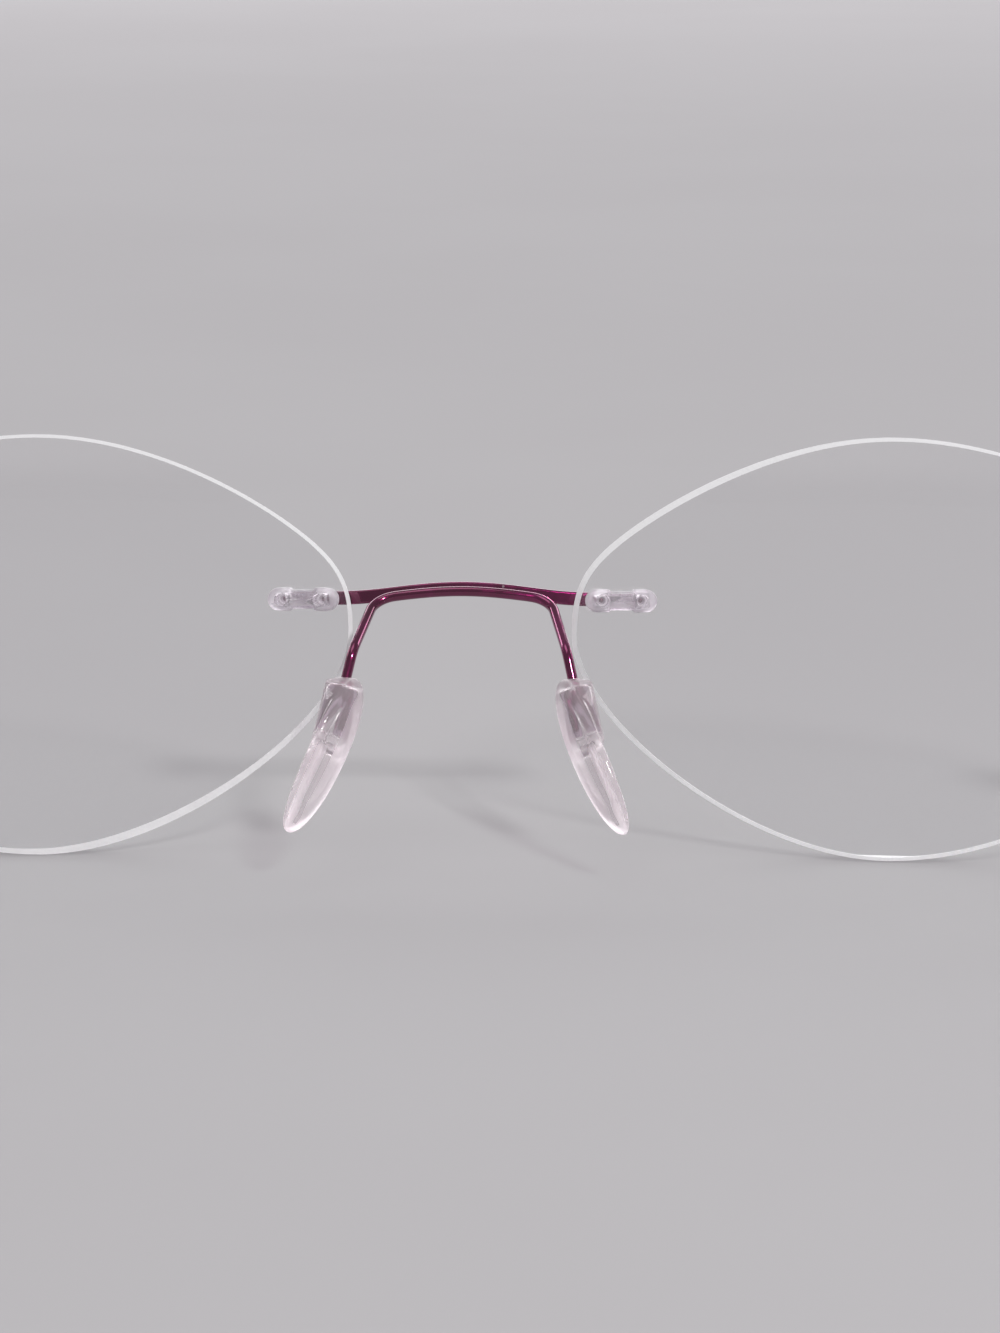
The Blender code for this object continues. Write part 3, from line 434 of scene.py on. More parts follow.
def newFinish(name, plain):  # a material, its tree, its shader with plain values set, and object coordinates
    material = bpy.data.materials.new(name)
    material.use_nodes = True
    tree = material.node_tree
    shader = tree.nodes["Principled BSDF"]
    for key, value in plain.items():
        shader.inputs[key].default_value = value
    return material, tree, shader, tree.nodes.new("ShaderNodeTexCoord").outputs["Object"]


def grouped(tree, group, inputs):
    return addNode(tree, "ShaderNodeGroup", {"node_tree": group}, inputs)


def blended(tree, share, first, second):  # a colour between two colours
    return addNode(tree, "ShaderNodeMix", {"data_type": "RGBA"}, {0: share, 6: first, 7: second}).outputs[2]


def letLampsThrough(tree, shader, tint):  # a clear piece shades what is behind it only a little
    path = tree.nodes.new("ShaderNodeLightPath")
    clear = tree.nodes.new("ShaderNodeBsdfTransparent")
    clear.inputs["Color"].default_value = tint
    surface = shader
    for ray in ("Is Shadow Ray", "Is Diffuse Ray"):  # straight to a lamp, and on from what it lights
        mix = tree.nodes.new("ShaderNodeMixShader")
        tree.links.new(path.outputs[ray], mix.inputs[0])
        tree.links.new(surface.outputs[0], mix.inputs[1])
        tree.links.new(clear.outputs[0], mix.inputs[2])
        surface = mix
    tree.links.new(surface.outputs[0], tree.nodes["Material Output"].inputs["Surface"])


def patches(tree, at, scale, low, high):
    return grouped(tree, softPatches, {"Vector": at, "Scale": scale, "Low": low, "High": high}).outputs["Value"]


def specksOf(tree, at, scale, share, size):
    values = {"Vector": at, "Scale": scale, "Share": share, "Size": size}
    return grouped(tree, dustSpecks, values).outputs["Mask"]


def makeFinish(name, look):
    # Two tones mixed in soft patches, or by the height of the grain, with specks of dust over them; gloss that
    # wanders between two roughnesses and is never under the mist; and a fine grain.
    material, tree, shader, at = newFinish(name, look["plain"])
    grain = grouped(tree, fineGrain, {"Vector": at, "Scale": look["grain"][0], "Depth": look["grain"][1]})
    share = patches(tree, at, look["patchScale"], 0.0, 1.0) if "patchScale" in look else grain.outputs["Height"]
    colour = blended(tree, share, *look["tones"])
    if "specks" in look:
        colour = blended(tree, specksOf(tree, at, *look["specks"]), colour, look["speckTone"])
    rough = patches(tree, at, *look["gloss"])
    if "misty" in look:
        frost = addNode(tree, "ShaderNodeAttribute", {"attribute_name": "mist"}, {})
        rough = sums(tree, "MAXIMUM", rough, frost.outputs["Fac"])
    tree.links.new(colour, shader.inputs["Base Color"])
    tree.links.new(rough, shader.inputs["Roughness"])
    tree.links.new(grain.outputs["Normal"], shader.inputs["Normal"])
    if "lampTint" in look:
        letLampsThrough(tree, shader, look["lampTint"])
    return material


# patches: scale; gloss: scale and two roughnesses; grain: scale and depth; specks: scale, share and size
looks = {
    "groundEdge": {
        "plain": {"Transmission Weight": 0.15, "IOR": 1.53, "Metallic": 0.0},
        "tones": ((0.90, 0.89, 0.90, 1), (0.99, 0.985, 0.99, 1)), "gloss": (900.0, 0.42, 0.62),
        "grain": (5200.0, 0.6), "lampTint": (0.72, 0.71, 0.72, 1)},
    "plumLacquer": {
        "plain": {"Metallic": 1.0, "Coat Weight": 1.0, "Coat Roughness": 0.04, "Coat IOR": 1.6},
        "tones": ((0.15, 0.007, 0.056, 1), (0.25, 0.011, 0.112, 1)), "patchScale": 260.0,
        "gloss": (700.0, 0.14, 0.24), "grain": (2600.0, 0.12),
        "specks": (1500.0, 0.06, 0.16), "speckTone": (0.55, 0.40, 0.45, 1)},
    "bareTitanium": {
        "plain": {"Metallic": 1.0}, "tones": ((0.50, 0.45, 0.48, 1), (0.68, 0.62, 0.66, 1)),
        "gloss": (1400.0, 0.22, 0.4), "grain": (6000.0, 0.25)},
    "plumAcetate": {
        "plain": {"Metallic": 0.0, "Coat Weight": 0.6, "Coat Roughness": 0.08, "IOR": 1.5},
        "tones": ((0.075, 0.010, 0.035, 1), (0.13, 0.018, 0.062, 1)), "patchScale": 130.0,
        "gloss": (420.0, 0.2, 0.34), "grain": (1500.0, 0.12)},
    "clearSilicone": {
        "plain": {"Transmission Weight": 0.84, "IOR": 1.42, "Metallic": 0.0}, "misty": True,
        "tones": ((0.985, 0.925, 0.948, 1), (0.965, 0.875, 0.912, 1)), "patchScale": 330.0,
        "gloss": (520.0, 0.04, 0.1), "grain": (1800.0, 0.1),
        "specks": (1300.0, 0.1, 0.13), "speckTone": (0.7, 0.62, 0.66, 1), "lampTint": (0.86, 0.83, 0.85, 1)},
}


def clearPlastic(transmission, tones, lowest, highest):
    return {"plain": {"Transmission Weight": transmission, "IOR": 1.52, "Metallic": 0.0}, "misty": True,
            "tones": tones, "patchScale": 800.0, "gloss": (1200.0, lowest, highest), "grain": (3000.0, 0.1),
            "lampTint": (0.8, 0.78, 0.8, 1)}


looks["milkySleeve"] = clearPlastic(0.12, ((0.96, 0.93, 0.95, 1), (0.93, 0.88, 0.92, 1)), 0.3, 0.45)
looks["milkyPlug"] = clearPlastic(0.82, ((0.95, 0.91, 0.95, 1), (0.88, 0.82, 0.88, 1)), 0.06, 0.16)
# the core's grey-lilac tones are darkened as painted shade, in place of dark reflections of a room in its clear
# plastic
looks["clearCore"] = clearPlastic(0.97, ((0.66, 0.60, 0.69, 1), (0.45, 0.40, 0.49, 1)), 0.02, 0.06)

glass = {"plain": {"Transmission Weight": 1.0, "IOR": 1.53, "Metallic": 0.0, "Specular IOR Level": 0.5},
         "tone": (0.982, 0.98, 0.984, 1), "specks": (420.0, 0.05, 0.11), "speckTone": (0.55, 0.53, 0.53, 1),
         "speckRoughness": 0.5, "smudges": (95.0, 0.0, 0.018), "lampTint": (0.93, 0.935, 0.935, 1)}


def makePolishedLens():  # clear, with faint smudges and a few rough specks
    material, tree, shader, at = newFinish("polishedLens", glass["plain"])
    specks = specksOf(tree, at, *glass["specks"])
    rough = sums(tree, "MULTIPLY_ADD", specks, glass["speckRoughness"], patches(tree, at, *glass["smudges"]))
    tree.links.new(rough, shader.inputs["Roughness"])
    tree.links.new(blended(tree, specks, glass["tone"], glass["speckTone"]), shader.inputs["Base Color"])
    letLampsThrough(tree, shader, glass["lampTint"])
    return material


finishes = {name: makeFinish(name, look) for name, look in looks.items()}
finishes["polishedLens"] = makePolishedLens()
print("finishes made:", len(finishes))


# Lenses

def lensOutline(sign):  # cubic curves between the top, shoulder, nasal, bottom and temporal points
    half, tall = lens["width"] / 2, lens["height"] / 2
    slope = math.radians(lens["shoulderSlope"])
    knots = [
        ((0, tall), (1, 0), lens["topTemporal"], lens["topNasal"]),
        ((half - lens["shoulderIn"], tall - lens["shoulderDown"]), (math.cos(slope), -math.sin(slope)),
         lens["shoulderRound"], lens["shoulderRound"]),
        ((half, lens["widestLevel"]), (0, -1), lens["nasalUp"], lens["nasalDown"]),
        ((0, -tall), (-1, 0), lens["bottomNasal"], lens["bottomTemporal"]),
        ((-half, lens["widestLevel"]), (0, 1), lens["temporal"], lens["temporal"]),
    ]
    run = []
    share = np.linspace(0, 1, lens["curvePoints"], endpoint=False)[:, None]
    for first, second in zip(knots, knots[1:] + knots[:1]):
        a, d = np.array(first[0], float), np.array(second[0], float)
        b, c = a + np.array(first[1]) * first[3], d - np.array(second[1]) * second[2]
        run.append(a * (1 - share) ** 3 + 3 * b * share * (1 - share) ** 2 + 3 * c * share ** 2 * (1 - share)
                   + d * share ** 3)
    run = np.concatenate(run) * (-sign, 1)
    closed = np.concatenate([run, run[:1]])
    reach = np.concatenate([[0], np.cumsum(np.linalg.norm(np.diff(closed, axis=0), axis=1))])
    even = np.linspace(0, reach[-1], lens["outlinePoints"], endpoint=False)
    return np.stack([np.interp(even, reach, closed[:, k]) for k in (0, 1)], -1)


def backChamfer(outline, side):  # ground by hand, so it widens on a smooth bell about one direction
    towards, more, spread = lens["groundWider"][side]
    angle = np.degrees(np.arctan2(outline[:, 1], -sides[side] * outline[:, 0]))
    away = (angle - towards + 180) % 360 - 180
    return (lens["backChamfer"] + more * np.exp(-(away / spread) ** 2))[:, None]


def lensBlank(side, sign):
    # Two spherical faces, each a fan of scaled outlines about the middle, joined by a ground edge with a
    # chamfer on both sides; depth = sphere depth at the point's distance from the middle.
    outline, normals = outlineProfile(lensOutline(sign))
    wide = backChamfer(outline, side)
    frontRim = outline - normals * lens["frontChamfer"]
    backRim = outline - normals * wide
    shares = np.linspace(0, 1, lens["rings"] + 1)[1:]
    layers = []
    for share in shares:
        flat = frontRim * share
        layers.append(np.stack([flat[:, 0], frontSag(np.hypot(*flat.T)), flat[:, 1]], -1))
    edge = np.hypot(*outline.T)
    low = frontSag(edge) + lens["frontChamfer"]
    high = lens["thickness"] + backSag(edge) - lens["chamferDepth"] * wide[:, 0]
    for share in np.linspace(0, 1, lens["edgeRings"]):
        layers.append(np.stack([outline[:, 0], low + (high - low) * share, outline[:, 1]], -1))
    for share in shares[::-1]:
        flat = backRim * share
        layers.append(np.stack([flat[:, 0], lens["thickness"] + backSag(np.hypot(*flat.T)), flat[:, 1]], -1))
    points = np.concatenate(layers + [np.array([(0, 0, 0), (0, lens["thickness"], 0)])])
    count, columns = len(layers), len(outline)
    faces = gridFaces(count, columns).tolist()
    ringOf = np.arange(len(faces)) // columns
    slots = ((ringOf >= lens["rings"] - 1) & (ringOf < lens["rings"] + lens["edgeRings"])).astype(int)
    frontPole, backPole = count * columns, count * columns + 1
    around = np.arange(columns)
    faces += np.stack([np.full(columns, frontPole), (around + 1) % columns, around], -1).tolist()
    last = (count - 1) * columns
    faces += np.stack([np.full(columns, backPole), last + around, last + (around + 1) % columns], -1).tolist()
    return shell(points, faces, np.concatenate([slots, np.zeros(2 * columns, int)]))


def rod(radius, start, finish, x=0.0, sidesCount=32, rounding=0.0, slot=0):  # a cylinder along y at x
    made = swept([(x, start, 0), (x, finish, 0)], roundProfile(radius, sidesCount), (0, 0, 1), 1, rounding, 4)
    return made[0], made[1], np.full(len(made[1]), slot)


def makeLens(side, sign):
    cuts = []
    for place in (-1, 1):
        local = np.linalg.inv(lensFrame(sign)) @ mountFrame(sign, place)
        for end in (-1, 1):
            hole = rod(holes["sleeve"] + holes["fit"], -holes["through"], holeDepth + holes["through"],
                       end * holes["spacing"] / 2, slot=1)
            cuts.append(placed(hole, local))
    finished("lens." + side, "lens_" + side, "front", shaped(lensBlank(side, sign), cuts), lensFrame(sign),
             ["polishedLens", "groundEdge"], lens["sharp"], onTable=True)


for side, sign in sides.items():
    makeLens(side, sign)
print("lenses made")


# Plugs behind the lenses

plug = {"length": 5.9, "height": 1.9, "waist": 1.54, "endLength": 1.85, "neck": 0.25, "thickness": 1.1,
        "round": 0.22, "roundSteps": 6, "arcPoints": 25, "waistPoints": 34, "holeSides": 40, "past": 1.0,
        "pinRecess": 0.2, "sharp": 50.0}
sleeve = {"start": 0.02, "gap": 0.008, "round": 0.06, "ringProud": 0.03, "sides": 48}
plugMist = {"most": 0.42, "out": 0.95, "outSoft": 0.2, "high": 0.56, "highSoft": 0.12, "clearRound": 0.62,
            "clearSoft": 0.1}


def plugOutline():  # two round ends and a slightly narrower waist: half height as a smooth function of x
    lobe, waist = plug["height"] / 2, plug["waist"] / 2
    centre = plug["length"] / 2 - lobe
    neckStart = plug["length"] / 2 - plug["endLength"]
    arc = np.linspace(-90, 90, plug["arcPoints"]) * math.pi / 180
    right = np.stack([centre + lobe * np.cos(arc), lobe * np.sin(arc)], -1)
    x = np.linspace(neckStart, -neckStart, plug["waistPoints"])
    top = np.stack([x, lobe + (waist - lobe) * smooth((neckStart - np.abs(x)) / plug["neck"])], -1)
    return np.concatenate([right, top, -right, -top])


def sleeveTube(x, back):  # a tube along y, turned from its wall's section: radius and depth of each corner
    outer, inner = holes["sleeve"] - sleeve["gap"], holes["pin"] + holes["fit"]
    start, soft = sleeve["start"], sleeve["round"]
    section = np.array([(inner, start), (outer, start), (outer, back - soft), (outer - soft, back),
                        (inner + soft, back), (inner, back - soft)])
    angle = np.arange(sleeve["sides"]) * 2 * math.pi / sleeve["sides"]
    radius, depth = section[:, 0][:, None], section[:, 1][:, None]
    points = np.stack([x + radius * np.cos(angle), depth + 0 * angle, radius * np.sin(angle)], -1)
    faces = gridFaces(len(section) + 1, len(angle)) % (len(section) * len(angle))
    return shell(points.reshape(-1, 3), faces, np.ones(len(faces), int))


def plugFrost(points):  # frosted at the ends and the waist's upper and lower edge, clear round both sleeves
    across, height = np.abs(points[:, 0]), np.abs(points[:, 2])
    outside = np.maximum(above(across, plugMist["out"], plugMist["outSoft"]),
                         above(height, plugMist["high"], plugMist["highSoft"]))
    fromHole = np.hypot(across - holes["spacing"] / 2, height)
    return plugMist["most"] * outside * above(fromHole, plugMist["clearRound"], plugMist["clearSoft"])


def makePlug(name, node, sign, place):
    seat = holeDepth + holes["seat"]
    back = seat + plug["thickness"]
    body = swept([(0, seat, 0), (0, back, 0)], outlineProfile(plugOutline()), (0, 0, 1), 2, plug["round"],
                 plug["roundSteps"])
    places = [end * holes["spacing"] / 2 for end in (-1, 1)]
    cuts = [rod(holes["sleeve"], -plug["past"], back + plug["past"], x, plug["holeSides"]) for x in places]
    solid = together(shaped(body, cuts), *[sleeveTube(x, back + sleeve["ringProud"]) for x in places])
    piece = finished(name, node, "front", solid, mountFrame(sign, place), ["milkyPlug", "milkySleeve"],
                     plug["sharp"])
    frosted(piece, plugFrost(solid[0]))


for side, sign in sides.items():
    makePlug("nosePlug." + side, "nose_plug_" + side, sign, -1)
    makePlug("templePlug." + side, "temple_plug_" + side, sign, 1)
print("plugs made")


# Bridge bar, pad wire

def pins(sign, place):  # two pins through the lens, in the front's frame
    start = -holes["seat"] - bar["thickness"] / 2
    finish = holeDepth + holes["seat"] + plug["thickness"] - plug["pinRecess"]
    pair = [rod(holes["pin"], start, finish, end * holes["spacing"] / 2, holes["pinSides"], holes["pinRound"])
            for end in (-1, 1)]
    return [placed(pin, mountFrame(sign, place)) for pin in pair]


def bareBack(solid, mounts):  # faces of a bar that lie against a lens between its pins are left bare
    points = solid[0]
    middles = np.array([points[list(face)].mean(0) for face in solid[1]])
    bare = np.zeros(len(middles), int)
    reach = holes["spacing"] / 2 + bar["overhang"] - bar["bareInset"]
    for matrix in mounts:
        local = carried(middles, np.linalg.inv(matrix))
        bare |= ((np.abs(local[:, 0]) < reach) & (local[:, 1] > -holes["seat"] - bar["bareDepth"])).astype(int)
    return bare


def sweptBar(path, rows, mounts):  # the flat bar along a path, bare behind its mounts
    profile = boxProfile(bar["thickness"], bar["height"], bar["corner"])
    return swept(path, profile, (0, 0, 1), rows, bar["corner"], bar["roundSteps"],
                 slots=lambda made: bareBack(made, mounts))


barStart = -(holes["spacing"] / 2 + bar["overhang"])


def makeBridge():
    exitX = platePoint(1, -1, holes["spacing"] / 2 + bar["run"])[0]
    arch = bridgePoints(np.linspace(exitX, -exitX, bar["archPoints"]))
    path = np.concatenate([[platePoint(1, -1, barStart)], arch, [platePoint(-1, -1, barStart)]])
    solid = sweptBar(path, bar["rows"], [mountFrame(1, -1), mountFrame(-1, -1)])
    finished("bridgeBar", "bridge_bar", "front", together(solid, *pins(1, -1), *pins(-1, -1)), np.eye(4),
             ["plumLacquer", "bareTitanium"])


def wireEnd():  # pushed on into the core
    knee, end = np.array(padWire["knee"]), np.array(padWire["end"])
    return end + unit(end - knee) * padWire["endDeeper"]


def makePadWire():
    behind = bar["thickness"] / 2 + holes["fit"] + padWire["radius"]
    inner = padWire["cornerOut"] - padWire["cornerBend"]
    along = bridgePoints(np.linspace(inner, -inner, padWire["alongPoints"])) + (0, behind, -padWire["drop"])
    corner = bridgePoints(np.array([padWire["cornerOut"]]))[0] + (0, behind, -padWire["cornerDrop"])
    left = roundedPath([wireEnd(), padWire["knee"], corner, along[0]],
                       [padWire["kneeBend"], padWire["cornerBend"]])
    right = mirrored(left, -1)[::-1]
    path = np.concatenate([left[:-1], along, right[1:]])
    solid = swept(path, roundProfile(padWire["radius"]), (0, 1, 0), padWire["rows"], padWire["endRound"],
                  padWire["roundSteps"])
    finished("padWire", "pad_arm_wire", "front", solid, np.eye(4), ["plumLacquer"])


makeBridge()
makePadWire()
print("bridge and pad wire made")


# Nose pads and their cores

pad = {"length": 14.0, "width": 4.9, "thickness": 1.7, "fullness": 2.3, "taper": 0.08, "curl": 1.4,
       "topMargin": 1.95, "turn": 27.0, "lean": 11.3, "offset": 0.9, "shift": 1.14, "faceFull": 0.75,
       "backFull": 1.3, "leastFull": 1e-4, "rows": 96, "columns": 96}
dish = {"depth": 0.3, "rim": 0.8, "soft": 0.28, "endPower": 2.6, "faceSteep": 2.2}
boss = {"height": 1.04, "fade": 1.3, "backSteep": 4.0}
topFall = {"most": 0.22, "start": -6.0, "soft": 3.6, "halfWidth": 2.0}
core = {"length": 5.0, "width": 2.4, "thickness": 1.3, "topMargin": 0.75, "topLower": 0.25, "endHigher": 0.4,
        "round": 0.3, "grip": 0.01, "boreMore": 0.5}
mist = {  # levels run from -1 at the foot to 1 at the top, places across from -1 at the rear edge to 1 in front
    "band": {"most": 0.5, "start": 0.29, "soft": 0.05},
    "rim": {"most": 0.3, "end": -0.36, "soft": 0.16, "top": 0.3, "topSoft": 0.2},
    "tongue": {"most": 0.75, "start": -0.32, "end": 0.2, "soft": 0.16, "top": 0.1, "topSoft": 0.12,
               "back": -0.45, "backSoft": 0.25},
    "foot": {"most": 0.4, "top": -0.84, "soft": 0.1},
    "cap": {"most": 0.38, "start": 0.76, "soft": 0.14},
    "clearRound": 0.08,
}


def padFrame(sign):  # z up the wire's end, x out of the pad's face, origin at the wire's knee
    knee, end = mirrored(padWire["knee"], sign), mirrored(padWire["end"], sign)
    up = unit(knee - end)
    turn = math.radians(pad["turn"])
    facing = np.array([-sign * math.cos(turn), math.sin(turn), 0])
    facing = unit(facing - up * (facing @ up))
    matrix = moved(*knee)
    matrix[:3, :3] = np.stack([facing, np.cross(up, facing), up], -1)
    return matrix


def coreMiddle():
    return -pad["topMargin"] - core["topMargin"] - core["length"] / 2


def onPad(x, y, level, sign):  # from the flat pad to the real one: curved by the square of the drop, then leant
    x = x + pad["offset"] - pad["curl"] * ((1 - level) / 2) ** 2
    z = level * pad["length"] / 2
    lean = -sign * math.radians(pad["lean"])
    across, along = y * math.cos(lean) - z * math.sin(lean), y * math.sin(lean) + z * math.cos(lean)
    return np.stack([x, across - sign * pad["shift"], along - pad["topMargin"] - pad["length"] / 2], -1)


def offPad(points, sign):  # back from the real pad to the flat one
    lean = -sign * math.radians(pad["lean"])
    across, along = points[:, 1] + sign * pad["shift"], points[:, 2] + pad["topMargin"] + pad["length"] / 2
    y, z = across * math.cos(lean) + along * math.sin(lean), along * math.cos(lean) - across * math.sin(lean)
    level = z / (pad["length"] / 2)
    return points[:, 0] - pad["offset"] + pad["curl"] * ((1 - level) / 2) ** 2, sign * y, level


def bulk(sine):  # how far the surface stands out, from the sine of the angle round the pad: the face is fuller
    return np.where(sine > 0, np.abs(sine) ** pad["faceFull"], -np.abs(sine) ** pad["backFull"])


def padMist(points, sign):
    # How frosted the silicone is: a band down the front edge, a faint rim down the rear one, a tongue below the
    # core, the foot and the cap. Sideways = thickness part + width part of the place on the flat pad, seen from
    # behind, as a share of the half width. Nothing in the hollow is frosted.
    x, forward, level = offPad(points, sign)
    full = np.maximum(1 - np.abs(level) ** pad["fullness"], pad["leastFull"]) ** (1 / pad["fullness"])
    half = pad["width"] / 2
    cosine = np.clip(forward / (full * (1 + pad["taper"] * level) * half), -1, 1)
    sine = np.sqrt(1 - cosine ** 2) * np.where(x > 0, 1, -1)
    turn = math.radians(pad["turn"])
    sideways = pad["thickness"] / pad["width"] * bulk(sine) * math.cos(turn) + cosine * math.sin(turn)
    band, rim, tongue, foot, cap = (mist[region] for region in ("band", "rim", "tongue", "foot", "cap"))
    onTongue = above(sideways, tongue["start"], tongue["soft"]) * below(sideways, tongue["end"], tongue["soft"])
    onTongue *= below(level, tongue["top"], tongue["topSoft"]) * above(sine, tongue["back"], tongue["backSoft"])
    frost = np.maximum.reduce([
        band["most"] * above(sideways, band["start"], band["soft"]),
        rim["most"] * below(sideways, rim["end"], rim["soft"]) * below(level, rim["top"], rim["topSoft"]),
        tongue["most"] * onTongue,
        foot["most"] * below(level, foot["top"], foot["soft"]),
        cap["most"] * above(level, cap["start"], cap["soft"])])
    reach = np.array([core["thickness"], core["width"], core["length"]]) / 2 + mist["clearRound"]
    inHollow = (np.abs(points - (0, 0, coreMiddle())) < reach).all(1)
    return np.where(inHollow, 0, frost)


def closedBall(grid, top, bottom):  # a grid of rings from the top down, closed at both poles
    rows, columns = grid.shape[:2]
    points = np.concatenate([grid.reshape(-1, 3), top[None], bottom[None]])
    faces = gridFaces(rows, columns).tolist()
    around = np.arange(columns)
    after, last = (around + 1) % columns, (rows - 1) * columns
    faces += np.stack([np.full(columns, rows * columns), after, around], -1).tolist()
    faces += np.stack([np.full(columns, rows * columns + 1), last + around, last + after], -1).tolist()
    return points, faces


def padShell(sign):
    # A flattened ball: level = sine power, width and thickness = cosine power of the latitude; its face is
    # fuller than its back and dished inside a rim, and the back rises in a low boss over the core.
    power = 2 / pad["fullness"]
    latitude = np.linspace(90, -90, pad["rows"] + 2)[1:-1] * math.pi / 180
    level = np.sign(np.sin(latitude)) * np.abs(np.sin(latitude)) ** power
    full = np.cos(latitude) ** power
    angle = np.arange(pad["columns"]) * 2 * math.pi / pad["columns"]
    wide = full * (1 + pad["taper"] * level) * pad["width"] / 2
    y = wide[:, None] * np.cos(angle)
    x = (full * pad["thickness"] / 2)[:, None] * bulk(np.sin(angle))
    z = np.repeat(level[:, None], pad["columns"], 1)
    fromMiddle = np.sqrt((np.abs(y) / (pad["width"] / 2)) ** 2 + np.abs(z) ** dish["endPower"])
    sunk = dish["depth"] * below(fromMiddle, dish["rim"], dish["soft"])
    sunk *= smooth(np.sin(angle) * dish["faceSteep"])
    grid = onPad(x - sunk, y, z, sign)
    outside = np.hypot(np.maximum(np.abs(grid[..., 1]) - core["width"] / 2, 0),
                       np.maximum(np.abs(grid[..., 2] - coreMiddle()) - core["length"] / 2, 0))
    raised = smooth(1 - outside / boss["fade"]) * smooth(-np.sin(angle) * boss["backSteep"])
    grid[..., 0] += raised * (np.minimum(grid[..., 0], -boss["height"]) - grid[..., 0])
    centre = np.array(0.0)
    poles = [onPad(centre, centre, centre + end, sign) for end in (1, -1)]
    return shell(*closedBall(grid, *poles))


stayOpen = 0.98  # the ends of a block draw in a little less than its corners are round


def block(width, depth, height, rounding, middle=(0, 0, 0)):  # a box with all its edges rounded
    x, y, z = middle
    ends = [(x, y, z - height / 2), (x, y, z + height / 2)]
    return swept(ends, boxProfile(width, depth, rounding, 5), (0, 1, 0), 2, rounding * stayOpen, 5)


def wireHole(depth, fit):  # down from a little above the knee
    return placed(rod(padWire["radius"] + fit, -core["boreMore"], depth), turned(0, -90))


def sloped(solid, sign):
    # The top falls off towards the rear edge: lowered by the place across times a soft step of the height.
    points = solid[0].copy()
    rear = np.clip(1 - sign * points[:, 1] / topFall["halfWidth"], 0, 2)
    points[:, 2] -= topFall["most"] * rear * above(points[:, 2], topFall["start"], topFall["soft"])
    return points, solid[1], solid[2]


def makePad(side, sign):
    loose = 2 * holes["fit"]
    middle = (0, 0, coreMiddle() + (core["endHigher"] - core["topLower"]) / 2)
    tall = core["length"] - core["topLower"] - core["endHigher"]
    hollow = block(core["thickness"] + loose, core["width"] + loose, tall + loose, core["round"], middle)
    bore = wireHole(pad["topMargin"] + core["topMargin"] + core["boreMore"], holes["fit"])
    solid = shaped(padShell(sign), [hollow, bore])
    frost = padMist(solid[0], sign)
    piece = finished("nosePad." + side, "nose_pad_" + side, "pad_" + side, sloped(solid, sign), padFrame(sign),
                     ["clearSilicone"])
    frosted(piece, frost)
    depth = np.linalg.norm(wireEnd() - padWire["knee"]) - core["grip"]
    solid = shaped(block(core["thickness"], core["width"], tall, core["round"], middle),
                   [wireHole(depth, -core["grip"])])
    # the core's finish darkens its tint as painted shade, in place of dark reflections
    finished("padCore." + side, "pad_core_" + side, "pad_" + side, sloped(solid, sign), padFrame(sign),
             ["clearCore"])


for side, sign in sides.items():
    makePad(side, sign)
print("nose pads made")


# Endpieces, hinges and temples

hinge = {"radius": 1.1, "outer": 1.0, "middle": 1.3, "gap": 0.1, "swing": 0.2, "blockDepth": 2.7,
         "blockWidth": 1.5, "edge": 0.12, "ease": 0.003, "sharp": 30.0}
screw = {"radius": 0.4, "round": 0.06, "head": 0.8, "headHeight": 0.4, "headRound": 0.14, "slotWidth": 0.22,
         "slotDepth": 0.2, "slotRound": 0.02, "slotPast": 1.0, "sides": 32}
leaf = {"round": 0.08, "ease": 0.002, "ferrule": 6.0, "ferruleEnd": 0.95, "ferruleRound": 0.12, "socket": 4.0}
temple = {"radius": 0.65, "straight": 95.0, "hook": 45.0, "earBend": 28.0, "toeIn": 2.5, "restFlat": 0.25,
          "endRound": 0.1, "bendSteps": 30, "pathPoints": 90, "sides": 32, "rows": 200, "hookTries": 8}
tip = {"lead": 4.0, "startRadius": 1.15, "endRadius": 1.95, "round": 1.2, "wall": 3.0, "fullAfter": 1 / 1.5,
       "stops": 60, "domeStops": 16, "domeTop": 88.0, "sides": 48, "rows": 260, "boreRows": 120, "sharp": 40.0}
hingeHeight = 2 * hinge["outer"] + hinge["middle"] + 2 * hinge["gap"]


def post(radius, start, finish, rounding=0.0, sidesCount=48):  # a cylinder along z
    return swept([(0, 0, start), (0, 0, finish)], roundProfile(radius, sidesCount), (0, 1, 0), 1, rounding, 4)


def screwHole(reach):  # as far as its reach up and down
    return post(screw["radius"] + holes["fit"], -reach, reach, 0.0, screw["sides"])


def makeEndpiece(side, sign):
    toFront = hingeFrame(sign)
    toHinge = np.linalg.inv(toFront)
    corner, pivot = mirrored(endpieceCorner(), sign), mirrored(hingePoint, sign)
    last = pivot - unit(pivot - corner) * (hinge["blockDepth"] - hinge["swing"])
    path = roundedPath([platePoint(sign, 1, barStart), corner, last], [endpiece["bend"]], endpiece["bendSteps"])
    arm = placed(sweptBar(path, endpiece["rows"], [mountFrame(sign, 1)]), toHinge)
    lump = block(hinge["blockWidth"], hinge["blockDepth"], hingeHeight, hinge["edge"],
                 (0, -hinge["blockDepth"] / 2, 0))
    high, slotHalf = hingeHeight / 2 - hinge["ease"], hinge["middle"] / 2 + hinge["gap"]
    barrel = post(hinge["radius"], -high, high, hinge["edge"])
    opening = post(hinge["radius"] + hinge["swing"], -slotHalf, slotHalf, 0.0, 64)
    solid = shaped(arm, [opening, screwHole(hingeHeight)], [lump, barrel])
    solid = together(solid, *[placed(each, toHinge) for each in pins(sign, 1)])
    finished("endpiece." + side, "endpiece_" + side, "front", solid, toFront, ["plumLacquer", "bareTitanium"],
             hinge["sharp"])


